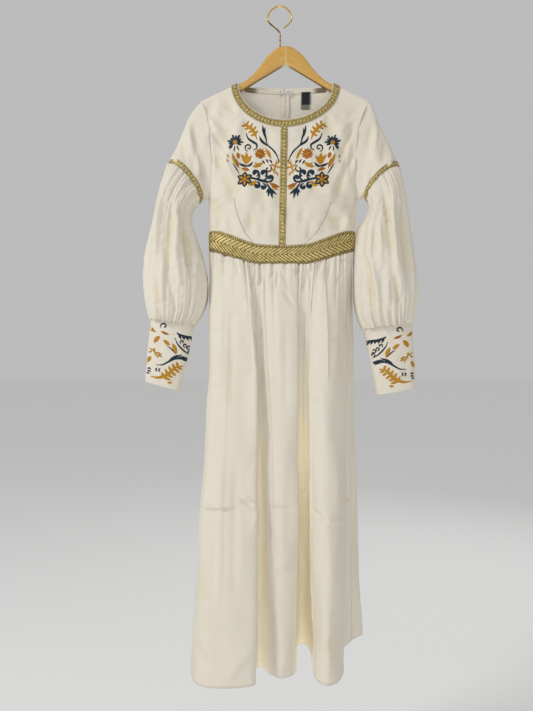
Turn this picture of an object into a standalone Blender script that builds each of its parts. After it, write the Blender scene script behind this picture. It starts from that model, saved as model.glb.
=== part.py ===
"""A long cotton dress with balloon sleeves and gold trims, hanging on a wooden hanger.

Lengths are millimetres here and metres in the meshes. The origin is the hang point, the inside
top of the hanger's hook. +Z is up, the dress faces -Y, and +X is on a viewer's right. Cloth
walls are grids of points on the outer face, rows running down and columns running towards +X
across the front and back towards -X across the back.
"""
import math
from collections import namedtuple

import bmesh
import bpy
import numpy as np

MM = 0.001  # metres in a millimetre
WALL = 1.2  # thickness of one layer of cloth
SEAM = 0.3  # space between two pieces that are sewn together
TRIM_WALL = 1.2  # thickness of the gold braid
BRAID_WIDTH = 15.0  # neck, front and sleeve braid
NECK_MARGIN = 2.0  # cloth that shows between the neck line and its braid
NECK_LIFT = 0.8  # the neck braid stands a little off the curve over the shoulder
BRAID_SETBACK = 0.08  # share of a sleeve braid's width by which it stops short of the gathers
ARMHOLE_GAP = 0.72  # from the bodice's edge to the sleeve, which meets it at an angle
WAIST_GAP = 0.75  # from the bodice's lower edge to the skirt
SASH_WIDTH = 42.0  # braid round the waist

# The dress hangs a little askew: x of its middle line at each height.
CENTRE_LINE = ((-1500.0, -8.0), (-560.0, 3.5), (-270.0, 9.0), (-225.0, 12.5), (0.0, 12.5))

NECK_HALF = 106.0  # neck to the middle line, at the shoulder seam
NECK_TOP = -172.2  # height of the shoulder seam at the neck
FRONT_NECK_DROP = 89.0
BACK_NECK_DROP = 6.0
SHOULDER_HALF = 188.0  # shoulder point to the middle line
SHOULDER_SLOPE = 0.48
RIDGE = 8.5  # radius of the cloth over the hanger's arm
RIDGE_FADE = 90.0  # below the shoulder seam, where the hanger no longer shapes the cloth
# Where front and back turn to meet, a second line of points lies this share of a panel, or of
# the first column, from the seam, so that both walls end square to it.
NEAR_SEAM = 0.0006
SIDE_TURN = 0.2
# Rows of points down the armhole, as shares of its length: close together over the hanger's
# arm. The bodice's edge and the sleeve's first loop both use them.
ARMHOLE_SHARES = (0.0, 0.006, 0.018, 0.042, 0.12, 0.27, 0.45, 0.63, 0.82, 0.94, 1.0)
EDGE_STEP = 0.01  # share of the armhole over which its direction is measured
SHOULDER_COLUMNS = 4
# Columns of a panel along the neck, in degrees from the shoulder seam (0) to the middle (90).
FRONT_NECK_ANGLES = (0.0, 2.0, 5.5, 12.0, 24.0, 38.0, 54.0, 72.0, 90.0)
BACK_NECK_ANGLES = (0.0, 8.0, 18.0, 32.0, 50.0, 70.0, 90.0)

# Armhole seam from the shoulder point down to the armpit.
ARMHOLE = ((188.0, -211.5), (178.0, -234.0), (168.0, -268.0), (161.0, -330.0),
           (160.0, -390.0), (166.0, -432.0))
# Half width at which front and back meet, and depth at the middle, by height.
REACH = ((-585.0, 161.0), (-550.0, 162.0), (-432.0, 166.0), (-380.0, 176.0),
         (-300.0, 196.0), (-210.0, 222.0))
DEPTH = ((-560.0, 34.0), (-420.0, 32.0), (-300.0, 27.0), (-215.0, 22.0), (-180.0, 20.0))
BUST_X, BUST_Z, BUST_SPREAD, BUST_RISE = 72.0, -432.0, 42.0, 7.0

WAIST_SIDE_Z = -550.0  # waist seam at the sides
FRONT_WAIST_DROP, BACK_WAIST_DROP = 32.0, 24.0
WAIST_LEVEL_HALF = 52.0  # the seam is level this far from the middle, then rises
WAIST_RISE_END = 160.0
WAIST_CURVE = 1.25  # 1 is a straight rise, more a softer start

HEM_Z = -1482.0
MID = 0.3  # share of the skirt's height at which the table gives its middle places
GATHER = 2.2  # how far each gather stands out at the waist seam
GATHER_FADE = 0.16  # share of the skirt's height where the gathers have gone
SKIRT_ROWS = (0.0, 0.03, 0.075, 0.14, 0.25, 0.42, 0.61, 0.8, 1.0)
SPAN_COLUMNS = 3  # columns from one fold line to the next
SEAM_COLUMN = 0.04  # place, counted in fold lines, of the column beside a seam

Fold = namedtuple("Fold", "waist_x mid_x mid_y hem_x hem_y lift")
# One row for each fold line of the skirt front, from the left side seam to the right one.
FRONT_FOLDS = tuple(Fold(*row) for row in (
    (-157, -159, -4, -200, -6, 4),
    (-143, -150, -40, -181, -82, 0),
    (-114, -117, -54, -126, -104, 0),
    (-90, -78, -60, -76, -97, 0),
    (-73, -54, -60, -52, -82, 2),
    (-62, -60, -42, -63, -40, 4),
    (-50, -46, -36, -45, -18, 6),
    (-32, -26, -48, -21, -42, 0),
    (-6, 2, -55, 6, -58, 0),
    (25, 35, -48, 34, -32, 2),
    (46, 38, -34, 33, 38, 16),
    (60, 53, -28, 52, 62, 22),
    (73, 69, -34, 71, 30, 16),
    (85, 67, -44, 73, -38, 2),
    (99, 86, -58, 86, -80, 0),
    (115, 106, -56, 105, -93, 0),
    (132, 130, -42, 127, -64, 0),
    (147, 147, -18, 141, -18, 4),
    (156, 146, 4, 142, 32, 18),
    (161, 159, 10, 168, 50, 36),
))
# One row for each fold line of the back, from the right side seam to the left one.
BACK_FOLDS = tuple(Fold(*row) for row in (
    (156, 167, 24, 193, 66, 44),
    (141, 151, 48, 183, 98, 30),
    (119, 122, 50, 150, 106, 12),
    (97, 98, 38, 118, 74, 6),
    (75, 76, 52, 92, 92, 0),
    (52, 55, 60, 62, 124, 0),
    (27, 26, 54, 30, 114, 0),
    (3.5, 2, 38, 6, 68, 4),
    (-22, -22, 54, -20, 108, 0),
    (-50, -50, 60, -52, 120, 0),
    (-77, -74, 44, -82, 82, 2),
    (-102, -103, 50, -112, 92, 0),
    (-127, -132, 44, -156, 88, 0),
    (-146, -152, 26, -189, 50, 2),
))
BACK_SEAM_FOLD = 7  # the back fold line that is the centre back seam

Section = namedtuple("Section", "outer_x outer_z inner_x inner_z depth bow")
# Sleeve sections below the armhole: the last two are the top and bottom edge of the braid.
UPPER_SLEEVES = {
    "left": tuple(Section(*row) for row in (
        (-199, -240, -162, -433, 16, 0),
        (-214, -272, -165, -433, 20, 4),
        (-230, -308, -169, -433, 24, 10),
        (-247, -345, -175, -434, 28, 18),
        (-253, -358, -183, -443, 30, 18),
    )),
    "right": tuple(Section(*row) for row in (
        (213, -238, 176, -433, 16, 0),
        (226, -267, 180, -433, 20, 5),
        (242, -302, 185, -432, 25, 12),
        (267, -354, 191, -430, 31, 20),
        (271, -368, 198, -438, 33, 20),
    )),
}
BALLOONS = {
    "left": tuple(Section(*row) for row in (
        (-263, -386, -196, -456, 39, 14),
        (-276, -430, -200, -476, 47, 7),
        (-288, -490, -194, -502, 53, 0),
        (-300, -548, -175, -552, 57, 0),
        (-305, -605, -163, -604, 57, 0),
        (-303, -650, -163, -650, 53, 0),
        (-297, -682, -172, -684, 46, 0),
        (-290, -701, -192, -714, 33, 0),
    )),
    "right": tuple(Section(*row) for row in (
        (276, -394, 203, -452, 42, 15),
        (281, -436, 195, -472, 49, 7),
        (289, -495, 175, -502, 55, 0),
        (298, -550, 168, -550, 58, 0),
        (305, -608, 166, -606, 59, 0),
        (306, -655, 166, -655, 54, 0),
        (302, -690, 173, -695, 46, 0),
        (297, -710, 187, -724, 34, 0),
    )),
}
CUFFS = {
    "left": tuple(Section(*row) for row in (
        (-290, -702, -192, -715, 27, 0),
        (-297, -770, -208, -788, 23, 0),
        (-303, -842, -224, -864, 20, 0),
    )),
    "right": tuple(Section(*row) for row in (
        (297, -711, 187, -725, 29, 0),
        (301, -782, 203, -798, 25, 0),
        (305, -857, 217, -873, 22, 0),
    )),
}
CUFF_COLUMNS = 24
BALLOON_COLUMNS = 40  # a gather is one column out and one in, so 20 gathers at each end
BALLOON_GATHER = 1.8
BALLOON_FOLDS, BALLOON_FOLD_RISE = 7, 4.5  # long soft folds round the middle of the balloon

HANGER_X = 12.5
HANGER_HALF_THICK = 7.0
# Edges of one arm from the middle outwards: distance from the middle, top, bottom.
HANGER_ARM = ((0.0, -88.5, -130.5), (10.0, -90.0, -136.5), (22.0, -95.5, -143.6),
              (40.0, -111.0, -154.5), (58.0, -135.0, -165.0), (74.0, -153.5, -174.5),
              (92.0, -168.0, -185.0), (114.0, -177.7, -196.5), (150.0, -195.0, -212.0),
              (176.0, -207.5, -222.5), (182.0, -212.0, -222.0))
HANGER_SIDES = 12
HANGER_ROUNDNESS = 0.95  # 1 is an oval section, 0 a rectangular one
HANGER_END_SHARE = 0.7  # thickness of an arm's end, as a share of the arm's

WIRE = 1.8  # radius of the hook's brass wire
# The bends of the hook, from the tip over the top and down into the wood.
HOOK_BENDS = ((9.0, -48.0), (23.0, -34.5), (27.2, -24.0), (19.5, -8.0), (9.0, 0.0), (0.0, WIRE),
              (-9.0, 0.0), (-19.5, -8.0), (-27.8, -23.0), (-24.5, -35.0), (-3.5, -54.0),
              (0.0, -62.0), (0.0, -76.0), (0.0, -89.95))
HOOK_SPAN_POINTS = 3

ZIP_TOP, ZIP_BOTTOM = -182.0, -735.0
ZIP_BENDS = (-560.0, -585.0, -640.0)  # heights where the tapes bend at the waist
ZIP_TAPE_WIDTH = 9.0
ZIP_TAPE_EDGE = 0.4  # from a tape's edge to the centre back
TAPE_WALL = 1.0
PULL_PIN_Z = -190.0
PULL_LENGTH, PULL_WIDTH, PULL_THICK = 20.0, 3.8, 1.0
PIN_RADIUS, EYE_RADIUS, HEAD_RADIUS = 0.7, 1.0, 1.9
SLIDER_WIDTH, SLIDER_HEIGHT, SLIDER_THICK = 6.8, 11.0, 1.6
LUG_THICK = 1.2
SLIDER_GAP = 0.4  # from the cloth to the slider's plate
FASTENING_WIRE = 0.7  # radius of the hook's and the eye's wire
FASTENING_DROP = 5.0  # below the zip's top

LABEL_LEFT, LABEL_RIGHT, LABEL_TOP, LABEL_BOTTOM = 48.0, 69.5, -187.0, -213.5
TAB_RIGHT, TAB_BOTTOM = 67.0, -223.5
LABEL_WALL = 1.0
LABEL_GAP = 1.3  # from the cloth, whose wall is flat between its columns


def smooth(value, start, end):
    """0 before start, 1 past end, and a soft step between them."""
    share = np.clip((np.asarray(value, float) - start) / (end - start), 0.0, 1.0)
    return share * share * (3.0 - 2.0 * share)


def along(table, value):
    """Read a table of (key, number) rows between its rows."""
    keys, numbers = zip(*table)
    return np.interp(value, keys, numbers)


def centre(z):
    """x of the dress's middle line at a height."""
    return along(CENTRE_LINE, z)


def spline(points, places, closed):
    """A smooth curve through the points, read at places counted in points."""
    points = np.asarray(points, float)
    places = np.asarray(places, float)
    count = len(points)
    start = np.floor(places).astype(int)
    if not closed:
        start = np.clip(start, 0, count - 2)
    share = (places - start)[:, None]
    index = [start + step for step in (-1, 0, 1, 2)]
    if closed:
        before, here, after, beyond = (points[number % count] for number in index)
    else:
        before, here, after, beyond = (points[np.clip(number, 0, count - 1)] for number in index)
    return here + 0.5 * share * (
        after - before
        + share * (2 * before - 5 * here + 4 * after - beyond
                   + share * (3 * here - before - 3 * after + beyond)))


def by_length(points, shares):
    """Points at shares of the length of a polyline."""
    points = np.asarray(points, float)
    steps = np.linalg.norm(np.diff(points, axis=0), axis=1)
    lengths = np.concatenate([[0.0], np.cumsum(steps)])
    wanted = np.asarray(shares) * lengths[-1]
    return np.stack([np.interp(wanted, lengths, points[:, axis])
                     for axis in range(points.shape[1])], axis=-1)


def directions(grid, axis):
    """The way a grid runs along one axis at each point, halfway between its two steps."""
    steps = np.diff(grid, axis=axis)
    steps /= np.linalg.norm(steps, axis=-1, keepdims=True)
    first, last = np.take(steps, [0], axis=axis), np.take(steps, [-1], axis=axis)
    return np.concatenate([first, steps], axis=axis) + np.concatenate([steps, last], axis=axis)


def normals(grid):
    """Outward directions of a grid whose rows run down and columns run to the right."""
    out = np.cross(directions(grid, 0), directions(grid, 1))
    return out / np.linalg.norm(out, axis=-1, keepdims=True)


def shoulder_line(x):
    """Height of the shoulder seam, carried on straight over the neck."""
    return NECK_TOP - (np.abs(x) - NECK_HALF) * SHOULDER_SLOPE


def depth(x, z, bust):
    """How far the cloth stands from the middle plane, x being measured from the middle line."""
    side = np.clip(np.abs(x) / along(REACH, z), 0.0, 1.0)
    lens = along(DEPTH, z) * (1.0 - side ** 2.5) ** 0.6
    fall = (shoulder_line(x) - z) / math.hypot(1.0, SHOULDER_SLOPE)
    near = np.clip(fall, 0.0, RIDGE)
    ridge = np.sqrt(RIDGE ** 2 - (RIDGE - near) ** 2)
    away = (np.abs(x) - BUST_X) ** 2 + (z - BUST_Z) ** 2
    fullness = bust * np.exp(-away / (2 * BUST_SPREAD ** 2))
    return ridge + (lens + fullness - ridge) * smooth(fall, 0.0, RIDGE_FADE)


def on_front(x, z):
    """A point of the front's outer face."""
    return np.stack([x + centre(z), -depth(x, z, BUST_RISE) - SEAM / 2, z + 0 * x], axis=-1)


def on_back(x, z):
    """A point of the back's outer face."""
    return np.stack([x + centre(z), depth(x, z, 0.0) + SEAM / 2, z + 0 * x], axis=-1)


def waist_height(x, drop):
    """Height of the waist seam, x being measured from the middle line."""
    share = (np.abs(x) - WAIST_LEVEL_HALF) / (WAIST_RISE_END - WAIST_LEVEL_HALF)
    return WAIST_SIDE_Z - drop * (1.0 - np.clip(share, 0.0, 1.0) ** WAIST_CURVE)


def neck_edge(angle, drop):
    """The neck line, from the shoulder seam (angle 0) to the middle (a right angle)."""
    return np.stack([NECK_HALF * np.cos(angle), NECK_TOP - drop * np.sin(angle)], axis=-1)


def armhole_edge(shares):
    """Places (x, z) on the armhole seam at shares of its length, from the shoulder point."""
    fine = spline(ARMHOLE, np.linspace(0, len(ARMHOLE) - 1, 51), False)
    return by_length(fine, shares)


def waist_turns(columns):
    """Angles from the side seam (0) to the middle line for the columns of half a panel."""
    turns = np.linspace(0.0, math.pi / 2, columns - 1)
    return np.insert(turns, 1, turns[1] * SIDE_TURN)


def half_panel(neck_drop, waist_drop, neck_angles):
    """Places (x, z) of half a bodice panel, from the side seam to the middle line."""
    shoulder_x = np.linspace(SHOULDER_HALF, NECK_HALF, SHOULDER_COLUMNS + 1)[:-1]
    top = np.concatenate([np.stack([shoulder_x, shoulder_line(shoulder_x)], axis=-1),
                          neck_edge(np.radians(neck_angles), neck_drop)])
    top = np.insert(top, 1, top[0] + (top[1] - top[0]) * NEAR_SEAM, axis=0)
    columns = len(top)
    turn = waist_turns(columns)
    waist_x = along(REACH, WAIST_SIDE_Z) * np.cos(turn)
    bottom = np.stack([waist_x, waist_height(waist_x, waist_drop)], axis=-1)
    above_braid = 1.0 - SASH_WIDTH / (ARMHOLE[-1][1] - WAIST_SIDE_Z)
    side = np.concatenate([
        armhole_edge(np.insert(ARMHOLE_SHARES, 1, NEAR_SEAM)),
        by_length([ARMHOLE[-1], bottom[0]], [above_braid / 2, above_braid, 1.0])])
    lengths = np.cumsum(np.linalg.norm(np.diff(side, axis=0), axis=1))
    shares = np.insert(lengths / lengths[-1], 0, 0.0)
    middle = by_length([top[-1], bottom[-1]], shares)
    down = shares[:, None, None]
    across = np.insert(np.linspace(0.0, 1.0, columns - 1), 1, NEAR_SEAM)[None, :, None]
    return ((1 - across) * side[:, None] + across * middle[:, None]
            + (1 - down) * top[None] + down * bottom[None]
            - (1 - across) * ((1 - down) * top[0] + down * bottom[0])
            - across * ((1 - down) * top[-1] + down * bottom[-1]))


def skirt_fold_lines(share):
    """Where each fold line of the skirt is at a share of its height, all round."""
    to_mid = 1.0 - (1.0 - min(share / MID, 1.0)) ** 2
    to_hem = max(share - MID, 0.0) / (1.0 - MID)
    points = []
    for folds, sign, drop in ((FRONT_FOLDS, -1.0, FRONT_WAIST_DROP),
                              (BACK_FOLDS, 1.0, BACK_WAIST_DROP)):
        for number, fold in enumerate(folds):
            from_middle = fold.waist_x - centre(WAIST_SIDE_Z)
            top = float(waist_height(from_middle, drop)) - WAIST_GAP
            seam = sign < 0 and number in (0, len(folds) - 1)
            waist_y = 0.0 if seam else sign * float(depth(from_middle, top, 0.0))
            x = fold.waist_x + (fold.mid_x - fold.waist_x) * to_mid
            y = waist_y + (fold.mid_y - waist_y) * to_mid
            points.append((x + (fold.hem_x - fold.mid_x) * to_hem,
                           y + (fold.hem_y - fold.mid_y) * to_hem,
                           top + (HEM_Z + fold.lift - top) * share))
    return np.array(points)


def skirt_panel(first, last):
    """The outer face of the skirt between two fold lines, with its gathers."""
    rows = []
    for share in SKIRT_ROWS:
        lines = skirt_fold_lines(share)
        places = np.linspace(first, last, (last - first) * SPAN_COLUMNS + 1)
        places = np.concatenate([[first, first + SEAM_COLUMN], places[1:-1],
                                 [last - SEAM_COLUMN, last]])
        points = spline(lines, places, True)
        for edge, beside in ((0, 1), (-1, -2)):
            step = points[beside] - points[edge]
            points[edge] += step * SEAM / 2 / np.linalg.norm(step)
        ahead = np.gradient(points, axis=0)
        out = np.stack([ahead[:, 1], -ahead[:, 0]], axis=-1)
        out /= np.linalg.norm(out, axis=-1, keepdims=True)
        rise = GATHER * max(1.0 - share / GATHER_FADE, 0.0)
        wave = rise * (-1.0) ** np.arange(len(points))
        wave[[0, 1, -2, -1]] = 0.0
        points[:, :2] += out * wave[:, None]
        rows.append(points)
    return np.array(rows)


def sleeve_turns(side):
    """Angles round the upper sleeve that match the armhole's rows, front first."""
    down = np.arccos(1.0 - 2.0 * np.array(ARMHOLE_SHARES))
    front = down if side == "left" else math.pi - down[::-1]
    return np.concatenate([front, 2 * math.pi - front[-2:0:-1]])


def even_turns(columns):
    return np.arange(columns) * 2 * math.pi / columns


def armhole_loop(side):
    """The armhole seam as a loop, front first, just outside the bodice's edge."""
    shares = np.array(ARMHOLE_SHARES)
    shares = shares if side == "left" else shares[::-1]
    shares = np.concatenate([shares, shares[-2:0:-1]])
    x, z = armhole_edge(shares).T
    along_edge = armhole_edge(np.minimum(shares + EDGE_STEP, 1)) - armhole_edge(
        np.maximum(shares - EDGE_STEP, 0))
    away = np.stack([-along_edge[:, 1], along_edge[:, 0]], axis=-1)
    away *= ARMHOLE_GAP / np.linalg.norm(away, axis=-1, keepdims=True)
    facing = np.sin(sleeve_turns(side)).round(6)
    y = np.where(facing > 0, -depth(x, z, BUST_RISE) - SEAM / 2, depth(x, z, 0.0) + SEAM / 2)
    y = np.where(facing == 0, 0.0, y)
    sign = -1.0 if side == "left" else 1.0
    return np.stack([sign * (x + away[:, 0]) + centre(z), y, z + away[:, 1]], axis=-1)


def down_sleeve(section, side):
    """The direction along the sleeve, square to one of its sections."""
    across = np.array([section.inner_x - section.outer_x, 0.0,
                       section.inner_z - section.outer_z], float)
    sign = 1.0 if side == "left" else -1.0
    return sign * np.cross((0.0, 1.0, 0.0), across / np.linalg.norm(across))


def sleeve_loop(section, side, turns, wave=0.0):
    """One section of a sleeve as a loop, front first; wave moves each point in or out."""
    outer = np.array([section.outer_x, 0.0, section.outer_z], float)
    inner = np.array([section.inner_x, 0.0, section.inner_z], float)
    start, end = (outer, inner) if side == "left" else (inner, outer)
    middle, reach = (start + end) / 2, (start - end) / 2
    length = np.linalg.norm(reach)
    turn = np.reshape(turns, (-1, 1))
    flat_cos = np.sign(np.cos(turn)) * np.abs(np.cos(turn)) ** 0.9
    flat_sin = np.sign(np.sin(turn)) * np.abs(np.sin(turn)) ** 0.85
    wave = np.reshape(wave, (-1, 1))
    return (middle + reach / length * flat_cos * (length + wave)
            - np.array([0.0, 1.0, 0.0]) * flat_sin * (section.depth + wave)
            - down_sleeve(section, side) * section.bow * np.maximum(np.sin(turn), 0.0))


def balloon_wave(columns, row, rows):
    """Gathers at both ends of a balloon sleeve and long soft folds between them."""
    end_rise = {0: 1.0, 1: 0.6, rows - 2: 0.6, rows - 1: 1.0}.get(row, 0.0)
    gathers = BALLOON_GATHER * end_rise * (-1.0) ** np.arange(columns)
    turn = even_turns(columns)
    folds = np.sin(BALLOON_FOLDS * turn + 0.6) + 0.5 * np.sin(4 * turn + 2.0)
    folds *= np.abs(np.sin(turn))  # the sleeve's two edges stay clear of the skirt
    return gathers + BALLOON_FOLD_RISE * math.sin(math.pi * row / (rows - 1)) ** 2 * folds


def new_material(name, colour, roughness, metallic=0.0):
    material = bpy.data.materials.new(name)
    material.use_nodes = True
    shader = material.node_tree.nodes["Principled BSDF"]
    shader.inputs["Base Color"].default_value = (*colour, 1.0)
    shader.inputs["Roughness"].default_value = roughness
    shader.inputs["Metallic"].default_value = metallic
    material.diffuse_color = (*colour, 1.0)
    return material


def add_object(name, mesh_data, material, collection):
    """Turn a bmesh into a named object, shaded smooth."""
    mesh = bpy.data.meshes.new(name)
    mesh_data.to_mesh(mesh)
    mesh_data.free()
    mesh.shade_smooth()
    mesh.materials.append(material)
    piece = bpy.data.objects.new(name, mesh)
    collection.objects.link(piece)
    return piece


def cloth_wall(name, grid, material, collection, closed=False, thickness=WALL):
    """A wall of cloth whose outer face is the grid, given its thickness by Solidify."""
    if closed:
        grid = np.concatenate([grid, grid[:, :1]], axis=1)
    rows, columns = grid.shape[:2]
    mesh_data = bmesh.new()
    bmesh.ops.create_grid(mesh_data, x_segments=columns - 1, y_segments=rows - 1, size=1.0)
    for vertex, point in zip(mesh_data.verts, grid.reshape(-1, 3)):
        vertex.co = point * MM
    bmesh.ops.reverse_faces(mesh_data, faces=mesh_data.faces)
    if closed:
        bmesh.ops.remove_doubles(mesh_data, verts=mesh_data.verts, dist=1e-6)
    piece = add_object(name, mesh_data, material, collection)
    solidify = piece.modifiers.new("Cloth thickness", "SOLIDIFY")
    solidify.thickness = thickness * MM
    solidify.offset = -1.0
    return piece


def moved_out(grid, distance, closed=False):
    """A grid lifted off the cloth under it."""
    if closed:
        around = np.concatenate([grid[:, -1:], grid, grid[:, :1]], axis=1)
        return grid + normals(around)[:, 1:-1] * distance
    return grid + normals(grid) * distance


def laid_on(name, grid, material, collection, lift=SEAM):
    """Braid that lies on a panel, just above the panel's points."""
    lifted = moved_out(grid, lift + TRIM_WALL)
    return cloth_wall(name, lifted, material, collection, thickness=TRIM_WALL)


def bodice_grids():
    """The front in one piece and the back in two, with a centre back seam for the zip."""
    half = half_panel(FRONT_NECK_DROP, FRONT_WAIST_DROP, FRONT_NECK_ANGLES)
    places = np.concatenate([half * (-1.0, 1.0), half[:, -2::-1]], axis=1)
    front = on_front(places[..., 0], places[..., 1])

    half = half_panel(BACK_NECK_DROP, BACK_WAIST_DROP, BACK_NECK_ANGLES)
    right = on_back(half[..., 0], half[..., 1])
    left = on_back(-half[:, ::-1, 0], half[:, ::-1, 1])
    right[:, -1, 0] += SEAM / 2
    left[:, 0, 0] -= SEAM / 2
    return front, right, left


def build_bodice(cotton, collection):
    front, right, left = bodice_grids()
    cloth_wall("bodice_front", front, cotton, collection)
    cloth_wall("bodice_back_right", right, cotton, collection)
    cloth_wall("bodice_back_left", left, cotton, collection)


def build_skirt(cotton, collection):
    """The skirt's front and the two halves of its back."""
    right_seam = len(FRONT_FOLDS) - 1
    back_seam = len(FRONT_FOLDS) + BACK_SEAM_FOLD
    all_round = len(FRONT_FOLDS) + len(BACK_FOLDS)
    cloth_wall("skirt_front", skirt_panel(0, right_seam), cotton, collection)
    cloth_wall("skirt_back_right", skirt_panel(right_seam, back_seam), cotton, collection)
    cloth_wall("skirt_back_left", skirt_panel(back_seam, all_round), cotton, collection)


def build_sleeves(cotton, braid, collection):
    """Each sleeve is a short cap, its braid, a gathered balloon and a deep flat cuff."""
    for side, sections in UPPER_SLEEVES.items():
        turns = sleeve_turns(side)
        cap = np.array([armhole_loop(side)]
                       + [sleeve_loop(section, side, turns) for section in sections])
        cloth_wall(f"upper_sleeve_{side}", cap, cotton, collection, closed=True)

        edge = cap[-1:] - (cap[-1:] - cap[-2:-1]) * BRAID_SETBACK
        lifted = moved_out(np.concatenate([cap[:-1], edge]), SEAM + TRIM_WALL, closed=True)
        cloth_wall(f"sleeve_braid_{side}", lifted[-2:], braid, collection,
                   closed=True, thickness=TRIM_WALL)

        top = sections[-1]
        drop = down_sleeve(top, side) * 2 * SEAM
        start = Section(top.outer_x + drop[0], top.outer_z + drop[2],
                        top.inner_x + drop[0], top.inner_z + drop[2], top.depth, top.bow)
        balloon = (start, *BALLOONS[side])
        loops = [sleeve_loop(section, side, even_turns(BALLOON_COLUMNS),
                             balloon_wave(BALLOON_COLUMNS, row, len(balloon)))
                 for row, section in enumerate(balloon)]
        cloth_wall(f"balloon_sleeve_{side}", np.array(loops), cotton, collection, closed=True)

        cuff = np.array([sleeve_loop(section, side, even_turns(CUFF_COLUMNS))
                         for section in CUFFS[side]])
        cloth_wall(f"cuff_{side}", cuff, cotton, collection, closed=True)


def neck_band(angles, drop, turn_start, on_panel, mirror):
    """Edges of the neck braid on one side of the middle line, for angles along the neck."""
    edge = neck_edge(angles, drop)
    turned = smooth(angles, turn_start, math.pi / 2)[:, None]
    shoulder = np.array([1.0, -SHOULDER_SLOPE]) / math.hypot(1.0, SHOULDER_SLOPE)
    away = (1.0 - turned) * shoulder + turned * np.array([0.0, -1.0])
    away /= np.linalg.norm(away, axis=-1, keepdims=True)
    edges = []
    for offset in (NECK_MARGIN, NECK_MARGIN + BRAID_WIDTH):
        x, z = (edge + away * offset).T
        edges.append(on_panel(mirror * x, z))
    return np.array(edges)


def build_braids(braid, collection):
    """Braid round the neck and the waist and down the middle of the front."""
    front = np.radians((0, 1, 2, 3.5, 5.5, 8, 12, 18, 24, 31, 38, 46, 54, 63, 72, 81, 90))
    back = np.radians((4, 8, 13, 18, 25, 32, 41, 50, 60, 70, 80, 87))
    back_turn = math.radians(18.0)
    neck = np.concatenate([
        neck_band(back[::-1], BACK_NECK_DROP, back_turn, on_back, -1.0),
        neck_band(front, FRONT_NECK_DROP, 0.0, on_front, -1.0),
        neck_band(front[-2::-1], FRONT_NECK_DROP, 0.0, on_front, 1.0),
        neck_band(back, BACK_NECK_DROP, back_turn, on_back, 1.0)], axis=1)
    laid_on("neck_braid", neck, braid, collection, lift=NECK_LIFT)

    front, right, left = bodice_grids()
    lowest = slice(-2, None)  # the bodice's last two rows are the edges of the waist braid
    waist = np.concatenate([left[lowest, :-1], front[lowest], right[lowest, 1:]], axis=1)
    waist[:, 0, 0] -= SEAM
    waist[:, -1, 0] += SEAM
    laid_on("waist_braid", waist, braid, collection)

    clear = 2 * SEAM + TRIM_WALL
    top = NECK_TOP - FRONT_NECK_DROP - NECK_MARGIN - BRAID_WIDTH - clear
    bottom = WAIST_SIDE_Z - FRONT_WAIST_DROP + SASH_WIDTH + clear
    z = np.linspace(top, bottom, 10)[:, None]
    x = np.array([[-BRAID_WIDTH / 2, 0.0, BRAID_WIDTH / 2]])
    laid_on("front_braid", on_front(x + 0 * z, z + 0 * x), braid, collection)


def build_hanger(wood, brass, collection):
    """A bell-shaped wooden hanger with round edges, and its brass wire hook."""
    arm = np.array(HANGER_ARM)
    sections = np.concatenate([arm[:0:-1] * (-1.0, 1.0, 1.0), arm])
    mesh_data = bmesh.new()
    rings = []
    turn = np.arange(HANGER_SIDES) * 2 * math.pi / HANGER_SIDES
    last = len(sections) - 1
    for number, (x, top, bottom) in enumerate(sections):
        thick = HANGER_HALF_THICK * (HANGER_END_SHARE if number in (0, last) else 1.0)
        middle, half = (top + bottom) / 2, (top - bottom) / 2
        y = thick * np.sign(np.cos(turn)) * np.abs(np.cos(turn)) ** HANGER_ROUNDNESS
        z = middle + half * np.sign(np.sin(turn)) * np.abs(np.sin(turn)) ** HANGER_ROUNDNESS
        rings.append([mesh_data.verts.new(((x + HANGER_X) * MM, a * MM, b * MM))
                      for a, b in zip(y, z)])
    for here, after in zip(rings, rings[1:]):
        for number in range(HANGER_SIDES):
            beside = (number + 1) % HANGER_SIDES
            mesh_data.faces.new((here[number], here[beside], after[beside], after[number]))
    mesh_data.faces.new(rings[0])
    mesh_data.faces.new(rings[-1])
    bmesh.ops.recalc_face_normals(mesh_data, faces=mesh_data.faces)
    add_object("hanger_wood", mesh_data, wood, collection)

    places = np.linspace(0, len(HOOK_BENDS) - 1, (len(HOOK_BENDS) - 1) * HOOK_SPAN_POINTS + 1)
    route = spline(HOOK_BENDS, places, False)
    add_wire("hanger_hook", [(x, 0.0, z) for x, z in route], WIRE, brass, collection)


def add_wire(name, points, radius, material, collection):
    """A round wire along a route."""
    curve = bpy.data.curves.new(name, "CURVE")
    curve.dimensions = "3D"
    curve.bevel_depth = radius * MM
    curve.bevel_resolution = 2
    curve.use_fill_caps = True
    line = curve.splines.new("POLY")
    line.points.add(len(points) - 1)
    for target, (x, y, z) in zip(line.points, points):
        target.co = (x * MM, y * MM, z * MM, 1.0)
    curve.materials.append(material)
    wire = bpy.data.objects.new(name, curve)
    collection.objects.link(wire)
    return wire


def inside_back(z):
    """y just inside the centre back, clear of the bodice and of the skirt's gathers."""
    waist = WAIST_SIDE_Z - BACK_WAIST_DROP
    bodice = float(depth(0.0, max(z, waist), 0.0))
    share = np.clip((waist - z) / (waist - HEM_Z), 0.0, 1.0)
    line = skirt_fold_lines(share)[len(FRONT_FOLDS) + BACK_SEAM_FOLD]
    step_in = GATHER * float(smooth(-z, -waist - 40.0, -waist))
    return (bodice if z > waist else line[1]) - WALL - 2 * SEAM - step_in


def box(name, low, high, material, collection):
    """A block between two corners."""
    low, high = np.array(low), np.array(high)
    bpy.ops.mesh.primitive_cube_add(size=1.0, location=tuple((low + high) / 2 * MM))
    block = bpy.context.object
    block.name = name
    block.scale = tuple((high - low) * MM)
    bpy.ops.object.transform_apply(location=False, rotation=False, scale=True)
    block.data.materials.append(material)
    move_to(block, collection)
    return block


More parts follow.
